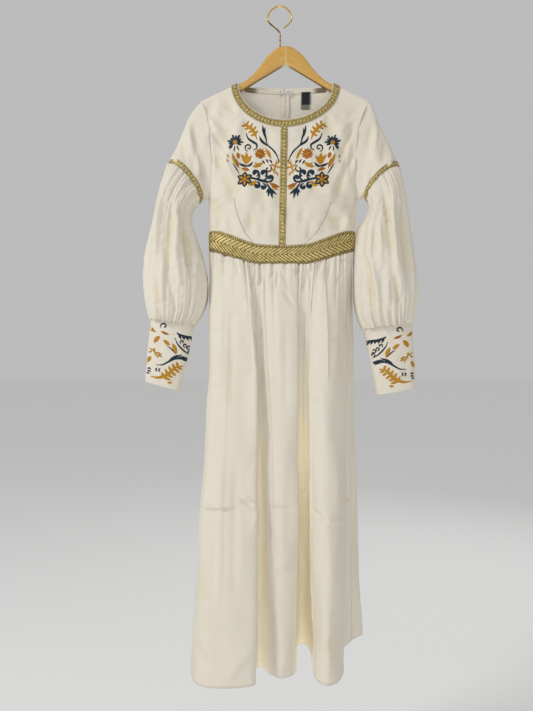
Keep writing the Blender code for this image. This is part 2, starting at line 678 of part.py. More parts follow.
def rod(name, radius, length, place, material, collection):
    """A round bar across the dress, along X."""
    bpy.ops.mesh.primitive_cylinder_add(vertices=12, radius=radius * MM, depth=length * MM,
                                        location=tuple(np.array(place) * MM),
                                        rotation=(0.0, math.pi / 2, 0.0))
    bar = bpy.context.object
    bar.name = name
    bar.data.materials.append(material)
    move_to(bar, collection)
    return bar


def move_to(piece, collection):
    for holder in list(piece.users_collection):
        holder.objects.unlink(piece)
    collection.objects.link(piece)


def combine(target, cutter, operation):
    """Join another piece to the target, or cut it away."""
    boolean = target.modifiers.new(cutter.name, "BOOLEAN")
    boolean.operation = operation
    boolean.object = cutter
    boolean.solver = "EXACT"
    cutter.hide_render = True
    cutter.display_type = "WIRE"


def build_zip(cotton, steel, collection, cutters):
    """Zip tapes inside the centre back seam, with the slider and its pull tab outside."""
    heights = np.concatenate([np.linspace(ZIP_TOP, ZIP_BENDS[0], 7), ZIP_BENDS[1:], [ZIP_BOTTOM]])
    for side, sign in (("right", 1.0), ("left", -1.0)):
        edges = sorted((sign * ZIP_TAPE_EDGE, sign * ZIP_TAPE_WIDTH), reverse=True)
        grid = np.array([[(x + centre(z), inside_back(z), z) for x in edges] for z in heights])
        cloth_wall(f"zip_tape_{side}", grid, cotton, collection, thickness=TAPE_WALL)

    x = float(centre(PULL_PIN_Z))
    cloth = float(depth(0.0, PULL_PIN_Z - SLIDER_HEIGHT / 2, 0.0)) + SEAM / 2
    plate = cloth + SLIDER_GAP
    pin_y = plate + SLIDER_THICK + HEAD_RADIUS + SEAM
    half = SLIDER_WIDTH / 2
    slider = box("zip_slider", (x - half, plate, PULL_PIN_Z - SLIDER_HEIGHT / 2),
                 (x + half, plate + SLIDER_THICK, PULL_PIN_Z + SLIDER_HEIGHT / 2),
                 steel, collection)
    for name, sign in (("slider_lug_right", 1.0), ("slider_lug_left", -1.0)):
        near, far = sorted((x + sign * half, x + sign * (half - LUG_THICK)))
        lug = box(name, (near, plate + SLIDER_THICK / 2, PULL_PIN_Z - PIN_RADIUS * 2),
                  (far, pin_y + PIN_RADIUS * 2, PULL_PIN_Z + PIN_RADIUS * 2), steel, cutters)
        combine(slider, lug, "UNION")
    pin = rod("slider_pin", PIN_RADIUS, SLIDER_WIDTH - LUG_THICK, (x, pin_y, PULL_PIN_Z),
              steel, cutters)
    combine(slider, pin, "UNION")

    head_width = SLIDER_WIDTH - 2 * LUG_THICK - 2 * SEAM
    tab = rod("zip_pull", HEAD_RADIUS, head_width, (x, pin_y, PULL_PIN_Z), steel, collection)
    leaf = box("pull_leaf", (x - PULL_WIDTH / 2, pin_y - PULL_THICK / 2, PULL_PIN_Z - PULL_LENGTH),
               (x + PULL_WIDTH / 2, pin_y + PULL_THICK / 2, PULL_PIN_Z - HEAD_RADIUS * 0.8),
               steel, cutters)
    combine(tab, leaf, "UNION")
    eye = rod("pull_eye", EYE_RADIUS, head_width * 3, (x, pin_y, PULL_PIN_Z), steel, cutters)
    combine(tab, eye, "DIFFERENCE")


def build_neck_fastening(thread, collection):
    """A hook and an eye at the top of the zip, sewn on with thick white thread."""
    z = ZIP_TOP - FASTENING_DROP
    x = float(centre(z))
    turn = np.linspace(0.0, 2 * math.pi, 17)[:-1]
    hook = [(x - 1.0, z), (x - 8.0, z + 1.2)]
    hook += [(x - 11.0 + 3.0 * math.cos(a), z + 3.2 * math.sin(a)) for a in turn[2:15]]
    hook += [(x - 8.0, z - 1.2), (x - 2.5, z - 1.7)]
    eye = [(x + 5.5 + 4.0 * math.cos(a), z + 3.4 * math.sin(a)) for a in turn[:-1] + 0.6]
    for name, bends in (("neck_hook", hook), ("neck_eye", eye)):
        route = [(a, inside_back(b) - TAPE_WALL - SEAM - 2 * FASTENING_WIRE, b)
                 for a, b in bends]
        add_wire(name, route, FASTENING_WIRE, thread, collection)


def build_label(black, grey, collection):
    """A bare woven label and a bare size tab inside the back of the neck."""
    def patch(name, left, right, top, bottom, material):
        xs = np.array([[right, (left + right) / 2, left]])
        zs = np.linspace(top, bottom, 3)[:, None]
        x, z = xs + 0 * zs, zs + 0 * xs
        y = depth(x - centre(z), z, 0.0) - WALL - LABEL_GAP
        cloth_wall(name, np.stack([x, y, z], axis=-1), material, collection,
                   thickness=LABEL_WALL)

    patch("neck_label", LABEL_LEFT, LABEL_RIGHT, LABEL_TOP, LABEL_BOTTOM, black)
    patch("size_tab", LABEL_LEFT, TAB_RIGHT, LABEL_BOTTOM - SEAM, TAB_BOTTOM, grey)


def main():
    for old in list(bpy.data.objects):
        bpy.data.objects.remove(old, do_unlink=True)
    dress = bpy.data.collections.new("dress_on_hanger")
    cutters = bpy.data.collections.new("cutters")
    for collection in (dress, cutters):
        bpy.context.scene.collection.children.link(collection)

    cotton = new_material("cream_cotton", (0.80, 0.76, 0.67), 0.85)
    braid = new_material("gold_braid", (0.42, 0.29, 0.08), 0.45, 0.5)
    wood = new_material("honey_wood", (0.58, 0.35, 0.10), 0.45)
    brass = new_material("brass_wire", (0.72, 0.55, 0.22), 0.3, 1.0)
    steel = new_material("nickelled_steel", (0.62, 0.60, 0.56), 0.3, 1.0)
    thread = new_material("white_thread", (0.82, 0.81, 0.78), 0.7)
    black = new_material("black_satin_label", (0.02, 0.02, 0.035), 0.5)
    grey = new_material("grey_satin_tab", (0.22, 0.20, 0.18), 0.5)

    build_bodice(cotton, dress)
    build_skirt(cotton, dress)
    build_sleeves(cotton, braid, dress)
    build_braids(braid, dress)
    build_hanger(wood, brass, dress)
    build_zip(cotton, steel, dress, cutters)
    build_neck_fastening(thread, dress)
    build_label(black, grey, dress)


main()
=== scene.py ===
# %% [markdown]
# # A long cotton dress on a wooden hanger
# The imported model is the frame: its solids already have the dress's cut, its folds and its
# sizes. This script dresses each solid in cloth, braid, thread, wood and metal. Lengths are
# millimetres until a mesh is made, +Z is up, the dress faces -Y and +X is on a viewer's right.

# %% Load the frame
import math
from collections import namedtuple

import bpy
import numpy as np
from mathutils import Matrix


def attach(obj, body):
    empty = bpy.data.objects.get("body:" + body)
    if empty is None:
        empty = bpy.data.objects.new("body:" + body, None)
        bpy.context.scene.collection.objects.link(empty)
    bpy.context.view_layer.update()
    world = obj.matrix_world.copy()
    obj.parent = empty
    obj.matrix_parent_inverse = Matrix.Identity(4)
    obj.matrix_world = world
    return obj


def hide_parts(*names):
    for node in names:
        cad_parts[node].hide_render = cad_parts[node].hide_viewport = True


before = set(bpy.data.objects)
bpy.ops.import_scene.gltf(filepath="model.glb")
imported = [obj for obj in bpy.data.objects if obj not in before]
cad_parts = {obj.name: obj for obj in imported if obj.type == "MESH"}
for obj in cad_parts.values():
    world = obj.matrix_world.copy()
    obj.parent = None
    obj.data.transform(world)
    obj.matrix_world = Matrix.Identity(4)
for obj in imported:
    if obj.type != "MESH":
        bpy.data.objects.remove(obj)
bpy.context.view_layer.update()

MM = 0.001
print("solids in the frame:", len(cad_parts))

# %% [markdown]
# ## The camera
# The picture is 533 pixels wide and 711 high. A pixel is 2.25 mm wide on the plane of the
# hanger, seen from 1.5 m away and level with the middle of the picture.

# %% Camera
PICTURE_HEIGHT = 711
MM_PER_PIXEL = 2.25
VIEW_DISTANCE = 1500.0
VIEW_CENTRE_X, VIEW_CENTRE_Z = -30.4, -784.0
SENSOR = 36.0

camera_data = bpy.data.cameras.new("camera")
camera_data.sensor_width = SENSOR
camera_data.lens = SENSOR * VIEW_DISTANCE / (PICTURE_HEIGHT * MM_PER_PIXEL)
camera = bpy.data.objects.new("camera", camera_data)
camera.location = (VIEW_CENTRE_X * MM, -VIEW_DISTANCE * MM, VIEW_CENTRE_Z * MM)
camera.rotation_euler = (math.pi / 2, 0.0, 0.0)
bpy.context.scene.collection.objects.link(camera)
bpy.context.scene.camera = camera
print(f"camera lens {camera_data.lens:.1f} mm")

# %% [markdown]
# ## Floor and light
# White cloth needs light from the side, or its folds vanish. A pale room gives soft light from
# everywhere, and three area lamps do the rest: the key on the left draws the folds, a weaker
# one in front opens the shadows, and one behind lights the back. A small lamp leaves crisper
# folds than a large one.

# %% Floor, room and lamps
FLOOR_Z = -1.9  # metres, as all of this cell
FLOOR_HALF = 30.0
ROOM_LIGHT = 0.5

bpy.ops.mesh.primitive_plane_add(size=2 * FLOOR_HALF, location=(0.0, 0.0, FLOOR_Z))
floor = bpy.context.object
floor.name = "floor"

scene = bpy.context.scene
scene.view_settings.view_transform = "Standard"
room = bpy.data.worlds.new("pale_room")
room.use_nodes = True
room.node_tree.nodes["Background"].inputs["Color"].default_value = (1.0, 1.0, 1.0, 1.0)
room.node_tree.nodes["Background"].inputs["Strength"].default_value = ROOM_LIGHT
scene.world = room


def add_lamp(name, place, aim, size, watts):
    """A square soft lamp that faces a point."""
    data = bpy.data.lights.new(name, "AREA")
    data.size = size
    data.energy = watts
    lamp = bpy.data.objects.new(name, data)
    lamp.location = place
    back = lamp.location.copy()
    for axis in range(3):
        back[axis] -= aim[axis]
    lamp.rotation_euler = back.to_track_quat("Z", "Y").to_euler()
    scene.collection.objects.link(lamp)


add_lamp("key", (-2.5, -1.7, 1.0), aim=(0.0, 0.0, -0.8), size=0.6, watts=40.0)
add_lamp("front", (-0.1, -3.4, -1.1), aim=(0.0, 0.0, -0.9), size=0.8, watts=19.0)
add_lamp("back", (1.5, 2.6, 0.6), aim=(0.0, 0.0, -0.8), size=1.6, watts=14.0)
print("lamps:", len(bpy.data.lights))

# %% [markdown]
# ## Colours and shader nodes
# Colours are written as the eye reads them, in sRGB hex, and Blender mixes light in linear
# values, so one function turns the first into the second. Another adds a node with its
# settings and its links. A pattern's Scale counts repeats in a metre, which is hard to picture,
# so two functions work it out from a size in millimetres. Floss, satin and metal all go from
# one colour to another where the mesh says so, and share one function.

# %% Helpers for materials


def linear(code):
    """An sRGB hex colour as linear red, green, blue and alpha."""
    parts = [int(code[start:start + 2], 16) / 255 for start in (1, 3, 5)]
    return (*[part / 12.92 if part <= 0.04045 else ((part + 0.055) / 1.055) ** 2.4
              for part in parts], 1.0)


def add_node(tree, kind, inputs, **settings):
    """Add a node; inputs maps each socket to a value or to the output that feeds it."""
    node = tree.nodes.new(kind)
    for name, value in settings.items():
        setattr(node, name, value)
    for socket, value in inputs.items():
        if isinstance(value, bpy.types.NodeSocket):
            tree.links.new(value, node.inputs[socket])
        else:
            node.inputs[socket].default_value = value
    return node


def start_material(name, roughness, metallic=0.0):
    """A new material with its node tree and its shader."""
    material = bpy.data.materials.new(name)
    material.use_nodes = True
    tree = material.node_tree
    shader = tree.nodes["Principled BSDF"]
    shader.inputs["Roughness"].default_value = roughness
    shader.inputs["Metallic"].default_value = metallic
    return material, tree, shader


def noise_scale(size):
    """The Scale of a noise texture with patches about this many mm wide."""
    return 1.0 / (size * MM)


def wave_scale(pitch):
    """The Scale of a wave texture with bands this many mm apart."""
    return math.pi / (10.0 * pitch * MM)


MIX_FACTOR, MIX_A, MIX_B, MIX_OUT = 0, 6, 7, 2  # sockets of a Mix node set to colour


def two_tone(name, first, second, roughness, metallic=0.0, by="tone"):
    """A material between two colours, by a number that the mesh carries."""
    material, tree, shader = start_material(name, roughness, metallic)
    share = add_node(tree, "ShaderNodeAttribute", {}, attribute_name=by)
    mixed = add_node(tree, "ShaderNodeMix", {
        MIX_FACTOR: share.outputs["Fac"], MIX_A: linear(first), MIX_B: linear(second)},
        data_type="RGBA")
    tree.links.new(mixed.outputs[MIX_OUT], shader.inputs["Base Color"])
    return material, tree, shader


floor_paint, _, floor_shader = start_material("matt_floor_paint", 0.9)
floor_shader.inputs["Base Color"].default_value = linear("#FBFBFA")
floor.data.materials.append(floor_paint)
print("a 200 mm patch needs a noise Scale of", noise_scale(200.0))

# %% [markdown]
# ## Cotton poplin
# The dress is a plain-woven cotton, washed and matt, with a trace of fuzz that catches light at
# grazing angles. Its threads are about 0.35 mm apart, too fine to show here, so they are drawn
# 2.8 mm apart. Slow patches of warmer and cooler cream stand for light coming through one
# layer or two. The mesh carries two more numbers for the material to read: one paints shade,
# warmer and darker, into the bottom of a fold and where something shades the cloth, and
# through paints light into the skirt's deep valleys, where daylight from behind crosses one
# layer only. Big creases are shaped in the mesh later on, and a ridged noise adds the small
# sharp crumples between them, which would take too many points.

# %% Cotton material
WEAVE_PITCH = 2.8  # mm between threads, drawn coarse enough to show
CREAM_PATCH = 200.0  # mm across a warmer or cooler patch
SLUB = 6.25  # mm of yarn that is a little thicker or thinner
CRUMPLE = 62.5  # mm from one crumple to the next
DAYLIT_CREAM = "#FFF5DC"


def cotton_material(name, light, shade, shade_tint):
    material, tree, shader = start_material(name, 0.88)
    shader.inputs["Sheen Weight"].default_value = 0.12
    shader.inputs["Sheen Roughness"].default_value = 0.5
    shader.inputs["Specular IOR Level"].default_value = 0.25
    place = add_node(tree, "ShaderNodeTexCoord", {}).outputs["Object"]
    patches = add_node(tree, "ShaderNodeTexNoise",
                       {"Vector": place, "Scale": noise_scale(CREAM_PATCH), "Detail": 3.0,
                        "Roughness": 0.55})
    slubs = add_node(tree, "ShaderNodeTexNoise",
                     {"Vector": place, "Scale": noise_scale(SLUB), "Detail": 2.0})
    cream = add_node(tree, "ShaderNodeMix", {
        MIX_FACTOR: patches.outputs["Fac"], MIX_A: linear(shade), MIX_B: linear(light)},
        data_type="RGBA")
    for mark, tint in (("hollow", shade_tint), ("through", DAYLIT_CREAM)):
        share = add_node(tree, "ShaderNodeAttribute", {}, attribute_name=mark)
        cream = add_node(tree, "ShaderNodeMix", {
            MIX_FACTOR: share.outputs["Fac"], MIX_A: cream.outputs[MIX_OUT],
            MIX_B: linear(tint)}, data_type="RGBA")
    fine = add_node(tree, "ShaderNodeMix", {
        MIX_FACTOR: 0.06, MIX_A: cream.outputs[MIX_OUT], MIX_B: slubs.outputs["Color"]},
        data_type="RGBA", blend_type="SOFT_LIGHT")
    tree.links.new(fine.outputs[MIX_OUT], shader.inputs["Base Color"])
    threads = {"Vector": place, "Scale": wave_scale(WEAVE_PITCH), "Distortion": 0.6}
    weft = add_node(tree, "ShaderNodeTexWave", threads, bands_direction="X")
    warp = add_node(tree, "ShaderNodeTexWave", threads, bands_direction="Z")
    weave = add_node(tree, "ShaderNodeMath", {0: weft.outputs["Fac"], 1: warp.outputs["Fac"]},
                     operation="MULTIPLY")
    crumples = add_node(tree, "ShaderNodeTexNoise", {
        "Vector": place, "Scale": noise_scale(CRUMPLE), "Detail": 2.0, "Roughness": 0.5,
        "Distortion": 0.5}, noise_type="RIDGED_MULTIFRACTAL")
    crumpled = add_node(tree, "ShaderNodeBump", {
        "Height": crumples.outputs["Fac"], "Strength": 0.8, "Distance": 0.005})
    bump = add_node(tree, "ShaderNodeBump", {
        "Height": weave.outputs["Value"], "Strength": 0.12, "Distance": 0.0003,
        "Normal": crumpled.outputs["Normal"]})
    tree.links.new(bump.outputs["Normal"], shader.inputs["Normal"])
    return material


# The last colour of each is its painted shade: a warm darker cream for the folds, and dark brown
# for the shadow that the hanger's arms and the shoulders cast on the facing.
cotton = cotton_material("cotton_poplin", "#E5DECF", "#DFD7C7", "#DBCCA8")
facing_cotton = cotton_material("cotton_facing", "#E1DACA", "#D9D0BE", "#7C6E54")
print("cotton weave drawn", WEAVE_PITCH, "mm apart")

# %% [markdown]
# ## Metallic braid
# The trims are woven from flat gilt thread: a painted highlight where a thread lies on top and
# catches light, and olive brown painted shade in the gaps. The mesh carries a number, tone, that
# is 0 in the gaps and 1 on the threads, and the material turns it into colour; a noise spots the
# painted highlight from thread to thread.

# %% Gilt thread material
HIGHLIGHT_SPOT = 3.85  # mm of thread that is brighter or duller than the next


def gilt_material(name, gap_shade, middle, highlight):
    material, tree, shader = start_material(name, 0.42, 0.35)
    # tone mixes a painted shade into the gaps, and lit adds a painted highlight to the tops of the
    # threads, in spots that a noise scatters.
    tone = add_node(tree, "ShaderNodeAttribute", {}, attribute_name="tone")
    place = add_node(tree, "ShaderNodeTexCoord", {}).outputs["Object"]
    worn = add_node(tree, "ShaderNodeTexNoise",
                    {"Vector": place, "Scale": noise_scale(HIGHLIGHT_SPOT), "Detail": 2.0})
    lit = add_node(tree, "ShaderNodeMath", {0: tone.outputs["Fac"], 1: worn.outputs["Fac"]},
                   operation="MULTIPLY")
    lit = add_node(tree, "ShaderNodeMath", {0: lit.outputs["Value"], 1: 1.7},
                   operation="MULTIPLY", use_clamp=True)
    base = add_node(tree, "ShaderNodeMix", {
        MIX_FACTOR: tone.outputs["Fac"], MIX_A: linear(gap_shade), MIX_B: linear(middle)},
        data_type="RGBA")
    thread = add_node(tree, "ShaderNodeMix", {
        MIX_FACTOR: lit.outputs["Value"], MIX_A: base.outputs[MIX_OUT], MIX_B: linear(highlight)},
        data_type="RGBA")
    tree.links.new(thread.outputs[MIX_OUT], shader.inputs["Base Color"])
    return material


# Olive brown painted shade in the gaps, gold thread, and a pale painted highlight.
gilt = gilt_material("gilt_thread_braid", "#463510", "#9A7D33", "#E6D28C")
print("gilt thread spots:", HIGHLIGHT_SPOT, "mm")

# %% [markdown]
# ## Embroidery floss
# Stranded cotton floss laid side by side in satin stitch has a soft shine and fine lines across
# each shape. One function makes each colour, with a painted shade between two strands and a
# painted highlight on them, and the mesh's tone says which is where.

# %% Floss materials


def floss_material(name, deep, light):
    material, _, shader = two_tone(name, deep, light, 0.55)
    shader.inputs["Sheen Weight"].default_value = 0.03
    shader.inputs["Specular IOR Level"].default_value = 0.3
    return material


# The first colour of each floss is the painted shade between strands, the second the painted
# highlight on them.
FLOSS = {
    "navy": floss_material("navy_cotton_floss", "#050F18", "#133042"),
    "ochre": floss_material("ochre_cotton_floss", "#8E5F08", "#C48E14"),
    "rust": floss_material("rust_cotton_floss", "#7C3F0A", "#B06A14"),
}
print("floss colours:", ", ".join(FLOSS))

# %% [markdown]
# ## Wood, brass, nickel and woven satin
# The hanger is beech under a clear satin lacquer: a fine straight grain along each arm with
# short darker flecks, pale where handling has worn it, and a painted dark shade underneath. The
# hook is drawn brass wire, with a mottled painted dark reflection on its lower loop and stem
# near the wood. The zip's slider is nickel plate, the label is woven satin, and all sewing is
# spun polyester thread.

# %% Beech


def beech_material():
    """Lacquered beech; the mesh carries the grain's own directions, counted in growth lines."""
    material, tree, shader = start_material("lacquered_beech", 0.38)
    shader.inputs["Coat Weight"].default_value = 0.25
    shader.inputs["Coat Roughness"].default_value = 0.25
    grain = add_node(tree, "ShaderNodeAttribute", {}, attribute_name="grain")
    rings = add_node(tree, "ShaderNodeTexNoise", {
        "Vector": grain.outputs["Vector"], "Scale": 1.0, "Detail": 5.0, "Roughness": 0.6})
    flecks = add_node(tree, "ShaderNodeTexNoise", {
        "Vector": grain.outputs["Vector"], "Scale": 5.0, "Detail": 3.0})
    wood = add_node(tree, "ShaderNodeMix", {
        MIX_FACTOR: rings.outputs["Fac"], MIX_A: linear("#C08C38"), MIX_B: linear("#E0B662")},
        data_type="RGBA")
    fleck = add_node(tree, "ShaderNodeMapRange", {
        "Value": flecks.outputs["Fac"], "From Min": 0.56, "From Max": 0.72})
    worn = add_node(tree, "ShaderNodeAttribute", {}, attribute_name="worn")
    # under paints a dark brown shade on the underside of each arm.
    under = add_node(tree, "ShaderNodeAttribute", {}, attribute_name="under")
    for share, tint in ((fleck.outputs["Result"], "#AB7A30"), (worn.outputs["Fac"], "#EFDCA8"),
                        (under.outputs["Fac"], "#5A3A16")):
        wood = add_node(tree, "ShaderNodeMix", {
            MIX_FACTOR: share, MIX_A: wood.outputs[MIX_OUT], MIX_B: linear(tint)},
            data_type="RGBA")
    tree.links.new(wood.outputs[MIX_OUT], shader.inputs["Base Color"])
    bump = add_node(tree, "ShaderNodeBump", {
        "Height": rings.outputs["Fac"], "Strength": 0.15, "Distance": 0.0002})
    tree.links.new(bump.outputs["Normal"], shader.inputs["Normal"])
    return material


beech = beech_material()
print("beech made of", len(beech.node_tree.nodes), "nodes")

# %% Metals, satin and thread
RIB_PITCH = 1.2  # mm between the ribs of the satin
THREAD_FUZZ = 1.11  # mm of thread that is paler or darker


def satin_material(name, face, edge):
    """Woven satin: ribs across, with a paler woven edge where the mesh says so."""
    material, tree, shader = two_tone(name, face, edge, 0.45)
    shader.inputs["Specular IOR Level"].default_value = 0.2
    place = add_node(tree, "ShaderNodeTexCoord", {}).outputs["Object"]
    ribs = add_node(tree, "ShaderNodeTexWave",
                    {"Vector": place, "Scale": wave_scale(RIB_PITCH)}, bands_direction="Z")
    bump = add_node(tree, "ShaderNodeBump", {
        "Height": ribs.outputs["Fac"], "Strength": 0.3, "Distance": 0.0002})
    tree.links.new(bump.outputs["Normal"], shader.inputs["Normal"])
    return material


def thread_material(name, deep, light):
    """Spun polyester: matt, and fuzzy enough that its colour wanders a little."""
    material, tree, shader = start_material(name, 0.7)
    place = add_node(tree, "ShaderNodeTexCoord", {}).outputs["Object"]
    fuzz = add_node(tree, "ShaderNodeTexNoise",
                    {"Vector": place, "Scale": noise_scale(THREAD_FUZZ)})
    mixed = add_node(tree, "ShaderNodeMix", {
        MIX_FACTOR: fuzz.outputs["Fac"], MIX_A: linear(deep), MIX_B: linear(light)},
        data_type="RGBA")
    tree.links.new(mixed.outputs[MIX_OUT], shader.inputs["Base Color"])
    return material


# The brass's second colour is a painted dark reflection on the hook's lower loop and stem.
brass = two_tone("drawn_brass_wire", "#E3BE62", "#3B2B18", 0.28, 1.0, by="tarnish")[0]
nickel = two_tone("nickel_plate", "#C9C6BF", "#8C8983", 0.3, 1.0, by="tarnish")[0]
black_satin = satin_material("black_woven_satin", "#16161F", "#8A8A92")
grey_satin = satin_material("grey_woven_satin", "#77736A", "#8E8A80")
white_thread = thread_material("white_polyester_thread", "#CFCDC6", "#F4F3EF")
# Brown thread that paints the shade along the front's bust darts.
dart_shade_thread = thread_material("painted_dart_shade_thread", "#8F7850", "#B39C70")
hem_thread = thread_material("hem_sewing_thread", "#D6CCB6", "#E8E0CE")
print("materials made:", len(bpy.data.materials))

# %% [markdown]
# ## The cut of the dress
# A part's looks have to lie on its solids, so the cut is worked out from the same driving
# numbers: seam lines, half widths and depths by height, and the places of each fold. A
# fold line has a place at the waist, a third of the way down and at the hem.

# %% Numbers of the cut
SEAM = 0.3
CLOTH = 0.7  # thickness of the cloth that shows
BRAID_WIDTH = 15.0
NECK_MARGIN = 2.0
BRAID_SETBACK = 0.08
SASH_WIDTH = 42.0
CENTRE_LINE = ((-1500.0, -8.0), (-560.0, 3.5), (-270.0, 9.0), (-225.0, 12.5), (0.0, 12.5))
NECK_HALF = 106.0
NECK_TOP = -172.2
FRONT_NECK_DROP = 89.0
BACK_NECK_DROP = 6.0
SHOULDER_HALF = 188.0
SHOULDER_SLOPE = 0.48
RIDGE = 8.5
RIDGE_FADE = 90.0
SHOULDER_COLUMNS = 4
FRONT_NECK_ANGLES = (0.0, 2.0, 5.5, 12.0, 24.0, 38.0, 54.0, 72.0, 90.0)
BACK_NECK_ANGLES = (0.0, 8.0, 18.0, 32.0, 50.0, 70.0, 90.0)
ARMHOLE = ((188.0, -211.5), (178.0, -234.0), (168.0, -268.0), (161.0, -330.0),
           (160.0, -390.0), (166.0, -432.0))
REACH = ((-585.0, 161.0), (-550.0, 162.0), (-432.0, 166.0), (-380.0, 176.0),
         (-300.0, 196.0), (-210.0, 222.0))
DEPTH = ((-560.0, 34.0), (-420.0, 32.0), (-300.0, 27.0), (-215.0, 22.0), (-180.0, 20.0))
BUST_X, BUST_Z, BUST_SPREAD, BUST_RISE = 72.0, -432.0, 42.0, 7.0
WAIST_SIDE_Z = -550.0
FRONT_WAIST_DROP, BACK_WAIST_DROP = 32.0, 24.0
WAIST_LEVEL_HALF = 52.0
WAIST_RISE_END = 160.0
WAIST_CURVE = 1.25
HEM_Z = -1482.0
MID = 0.3

print("neck opening:", 2 * NECK_HALF, "mm wide")

# %% Fold lines of the skirt
Fold = namedtuple("Fold", "waist_x mid_x mid_y hem_x hem_y lift")
# Fold lines of the skirt front, from the left side seam to the right one.
FRONT_FOLDS = tuple(Fold(*row) for row in (
    (-157, -159, -4, -200, -6, 4),
    (-143, -150, -40, -181, -82, 0),
    (-114, -117, -54, -126, -104, 0),
    (-90, -78, -60, -76, -97, 0),
    (-73, -54, -60, -52, -82, 2),
    (-62, -60, -42, -63, -40, 4),
    (-50, -46, -36, -45, -18, 6),
    (-32, -26, -48, -21, -42, 0),
    (-6, 2, -55, 6, -58, 0),
    (25, 35, -48, 34, -32, 2),
    (46, 38, -34, 33, 38, 16),
    (60, 53, -28, 52, 62, 22),
    (73, 69, -34, 71, 30, 16),
    (85, 67, -44, 73, -38, 2),
    (99, 86, -58, 86, -80, 0),
    (115, 106, -56, 105, -93, 0),
    (132, 130, -42, 127, -64, 0),
    (147, 147, -18, 141, -18, 4),
    (156, 146, 4, 142, 32, 18),
    (161, 159, 10, 168, 50, 36),
))
# Fold lines of the back, from the right side seam to the left one.
BACK_FOLDS = tuple(Fold(*row) for row in (
    (156, 167, 24, 193, 66, 44),
    (141, 151, 48, 183, 98, 30),
    (119, 122, 50, 150, 106, 12),
    (97, 98, 38, 118, 74, 6),
    (75, 76, 52, 92, 92, 0),
    (52, 55, 60, 62, 124, 0),
    (27, 26, 54, 30, 114, 0),
    (3.5, 2, 38, 6, 68, 4),
    (-22, -22, 54, -20, 108, 0),
    (-50, -50, 60, -52, 120, 0),
    (-77, -74, 44, -82, 82, 2),
    (-102, -103, 50, -112, 92, 0),
    (-127, -132, 44, -156, 88, 0),
    (-146, -152, 26, -189, 50, 2),
))
BACK_SEAM_FOLD = 7
print("fold lines round the skirt:", len(FRONT_FOLDS) + len(BACK_FOLDS))

# %% Sections of the sleeves
Section = namedtuple("Section", "outer_x outer_z inner_x inner_z depth bow")
UPPER_SLEEVES = {
    "left": tuple(Section(*row) for row in (
        (-199, -240, -162, -433, 16, 0),
        (-214, -272, -165, -433, 20, 4),
        (-230, -308, -169, -433, 24, 10),
        (-247, -345, -175, -434, 28, 18),
        (-253, -358, -183, -443, 30, 18),
    )),
    "right": tuple(Section(*row) for row in (
        (213, -238, 176, -433, 16, 0),
        (226, -267, 180, -433, 20, 5),
        (242, -302, 185, -432, 25, 12),
        (267, -354, 191, -430, 31, 20),
        (271, -368, 198, -438, 33, 20),
    )),
}
BALLOONS = {
    "left": tuple(Section(*row) for row in (
        (-263, -386, -196, -456, 39, 14),
        (-276, -430, -200, -476, 47, 7),
        (-288, -490, -194, -502, 53, 0),
        (-300, -548, -175, -552, 57, 0),
        (-305, -605, -163, -604, 57, 0),
        (-303, -650, -163, -650, 53, 0),
        (-297, -682, -172, -684, 46, 0),
        (-290, -701, -192, -714, 33, 0),
    )),
    "right": tuple(Section(*row) for row in (
        (276, -394, 203, -452, 42, 15),
        (281, -436, 195, -472, 49, 7),
        (289, -495, 175, -502, 55, 0),
        (298, -550, 168, -550, 58, 0),
        (305, -608, 166, -606, 59, 0),
        (306, -655, 166, -655, 54, 0),
        (302, -690, 173, -695, 46, 0),
        (297, -710, 187, -724, 34, 0),
    )),
}
CUFFS = {
    "left": tuple(Section(*row) for row in (
        (-290, -702, -192, -715, 27, 0),
        (-297, -770, -208, -788, 23, 0),
        (-303, -842, -224, -864, 20, 0),
    )),
    "right": tuple(Section(*row) for row in (
        (297, -711, 187, -725, 29, 0),
        (301, -782, 203, -798, 25, 0),
        (305, -857, 217, -873, 22, 0),
    )),
}
BALLOON_FOLDS, BALLOON_FOLD_RISE = 7, 4.5
print("sections of a balloon sleeve:", len(BALLOONS["left"]))

# %% [markdown]
# ## Grids of points
# Every piece of cloth is a grid: rows run down it and columns run across, and a closed grid
# goes round a sleeve. Numpy works on all points at once. A grid's outward direction at each
# point is square to its row and its column there.

# %% Helpers for curves and grids


def smooth(value, start, end):
    """0 before start, 1 past end, and a soft step between them."""
    share = np.clip((np.asarray(value, float) - start) / (end - start), 0.0, 1.0)
    return share * share * (3.0 - 2.0 * share)


def along(table, value):
    """Read a table of (key, number) rows between its rows."""
    keys, numbers = zip(*table)
    return np.interp(value, keys, numbers)


def centre(z):
    """x of the dress's middle line at a height."""
    return along(CENTRE_LINE, z)


def spline(points, places, closed=False):
    """A smooth curve through the points, read at places counted in points."""
    points = np.asarray(points, float)
    places = np.asarray(places, float)
    count = len(points)
    start = np.floor(places).astype(int)
    if not closed:
        start = np.clip(start, 0, count - 2)
    share = (places - start).reshape((-1,) + (1,) * (points.ndim - 1))
    index = [start + step for step in (-1, 0, 1, 2)]
    if closed:
        before, here, after, beyond = (points[number % count] for number in index)
    else:
        before, here, after, beyond = (points[np.clip(number, 0, count - 1)] for number in index)
    return here + 0.5 * share * (
        after - before
        + share * (2 * before - 5 * here + 4 * after - beyond
                   + share * (3 * here - before - 3 * after + beyond)))


def travelled(points):
    """mm from the first point of a polyline to each of its points."""
    steps = np.linalg.norm(np.diff(points, axis=0), axis=-1)
    return np.concatenate([[0.0], np.cumsum(steps)])


def by_length(points, shares):
    """Points at shares of the length of a polyline."""
    points = np.asarray(points, float)
    lengths = travelled(points)
    wanted = np.asarray(shares) * lengths[-1]
    return np.stack([np.interp(wanted, lengths, points[:, axis])
                     for axis in range(points.shape[1])], axis=-1)


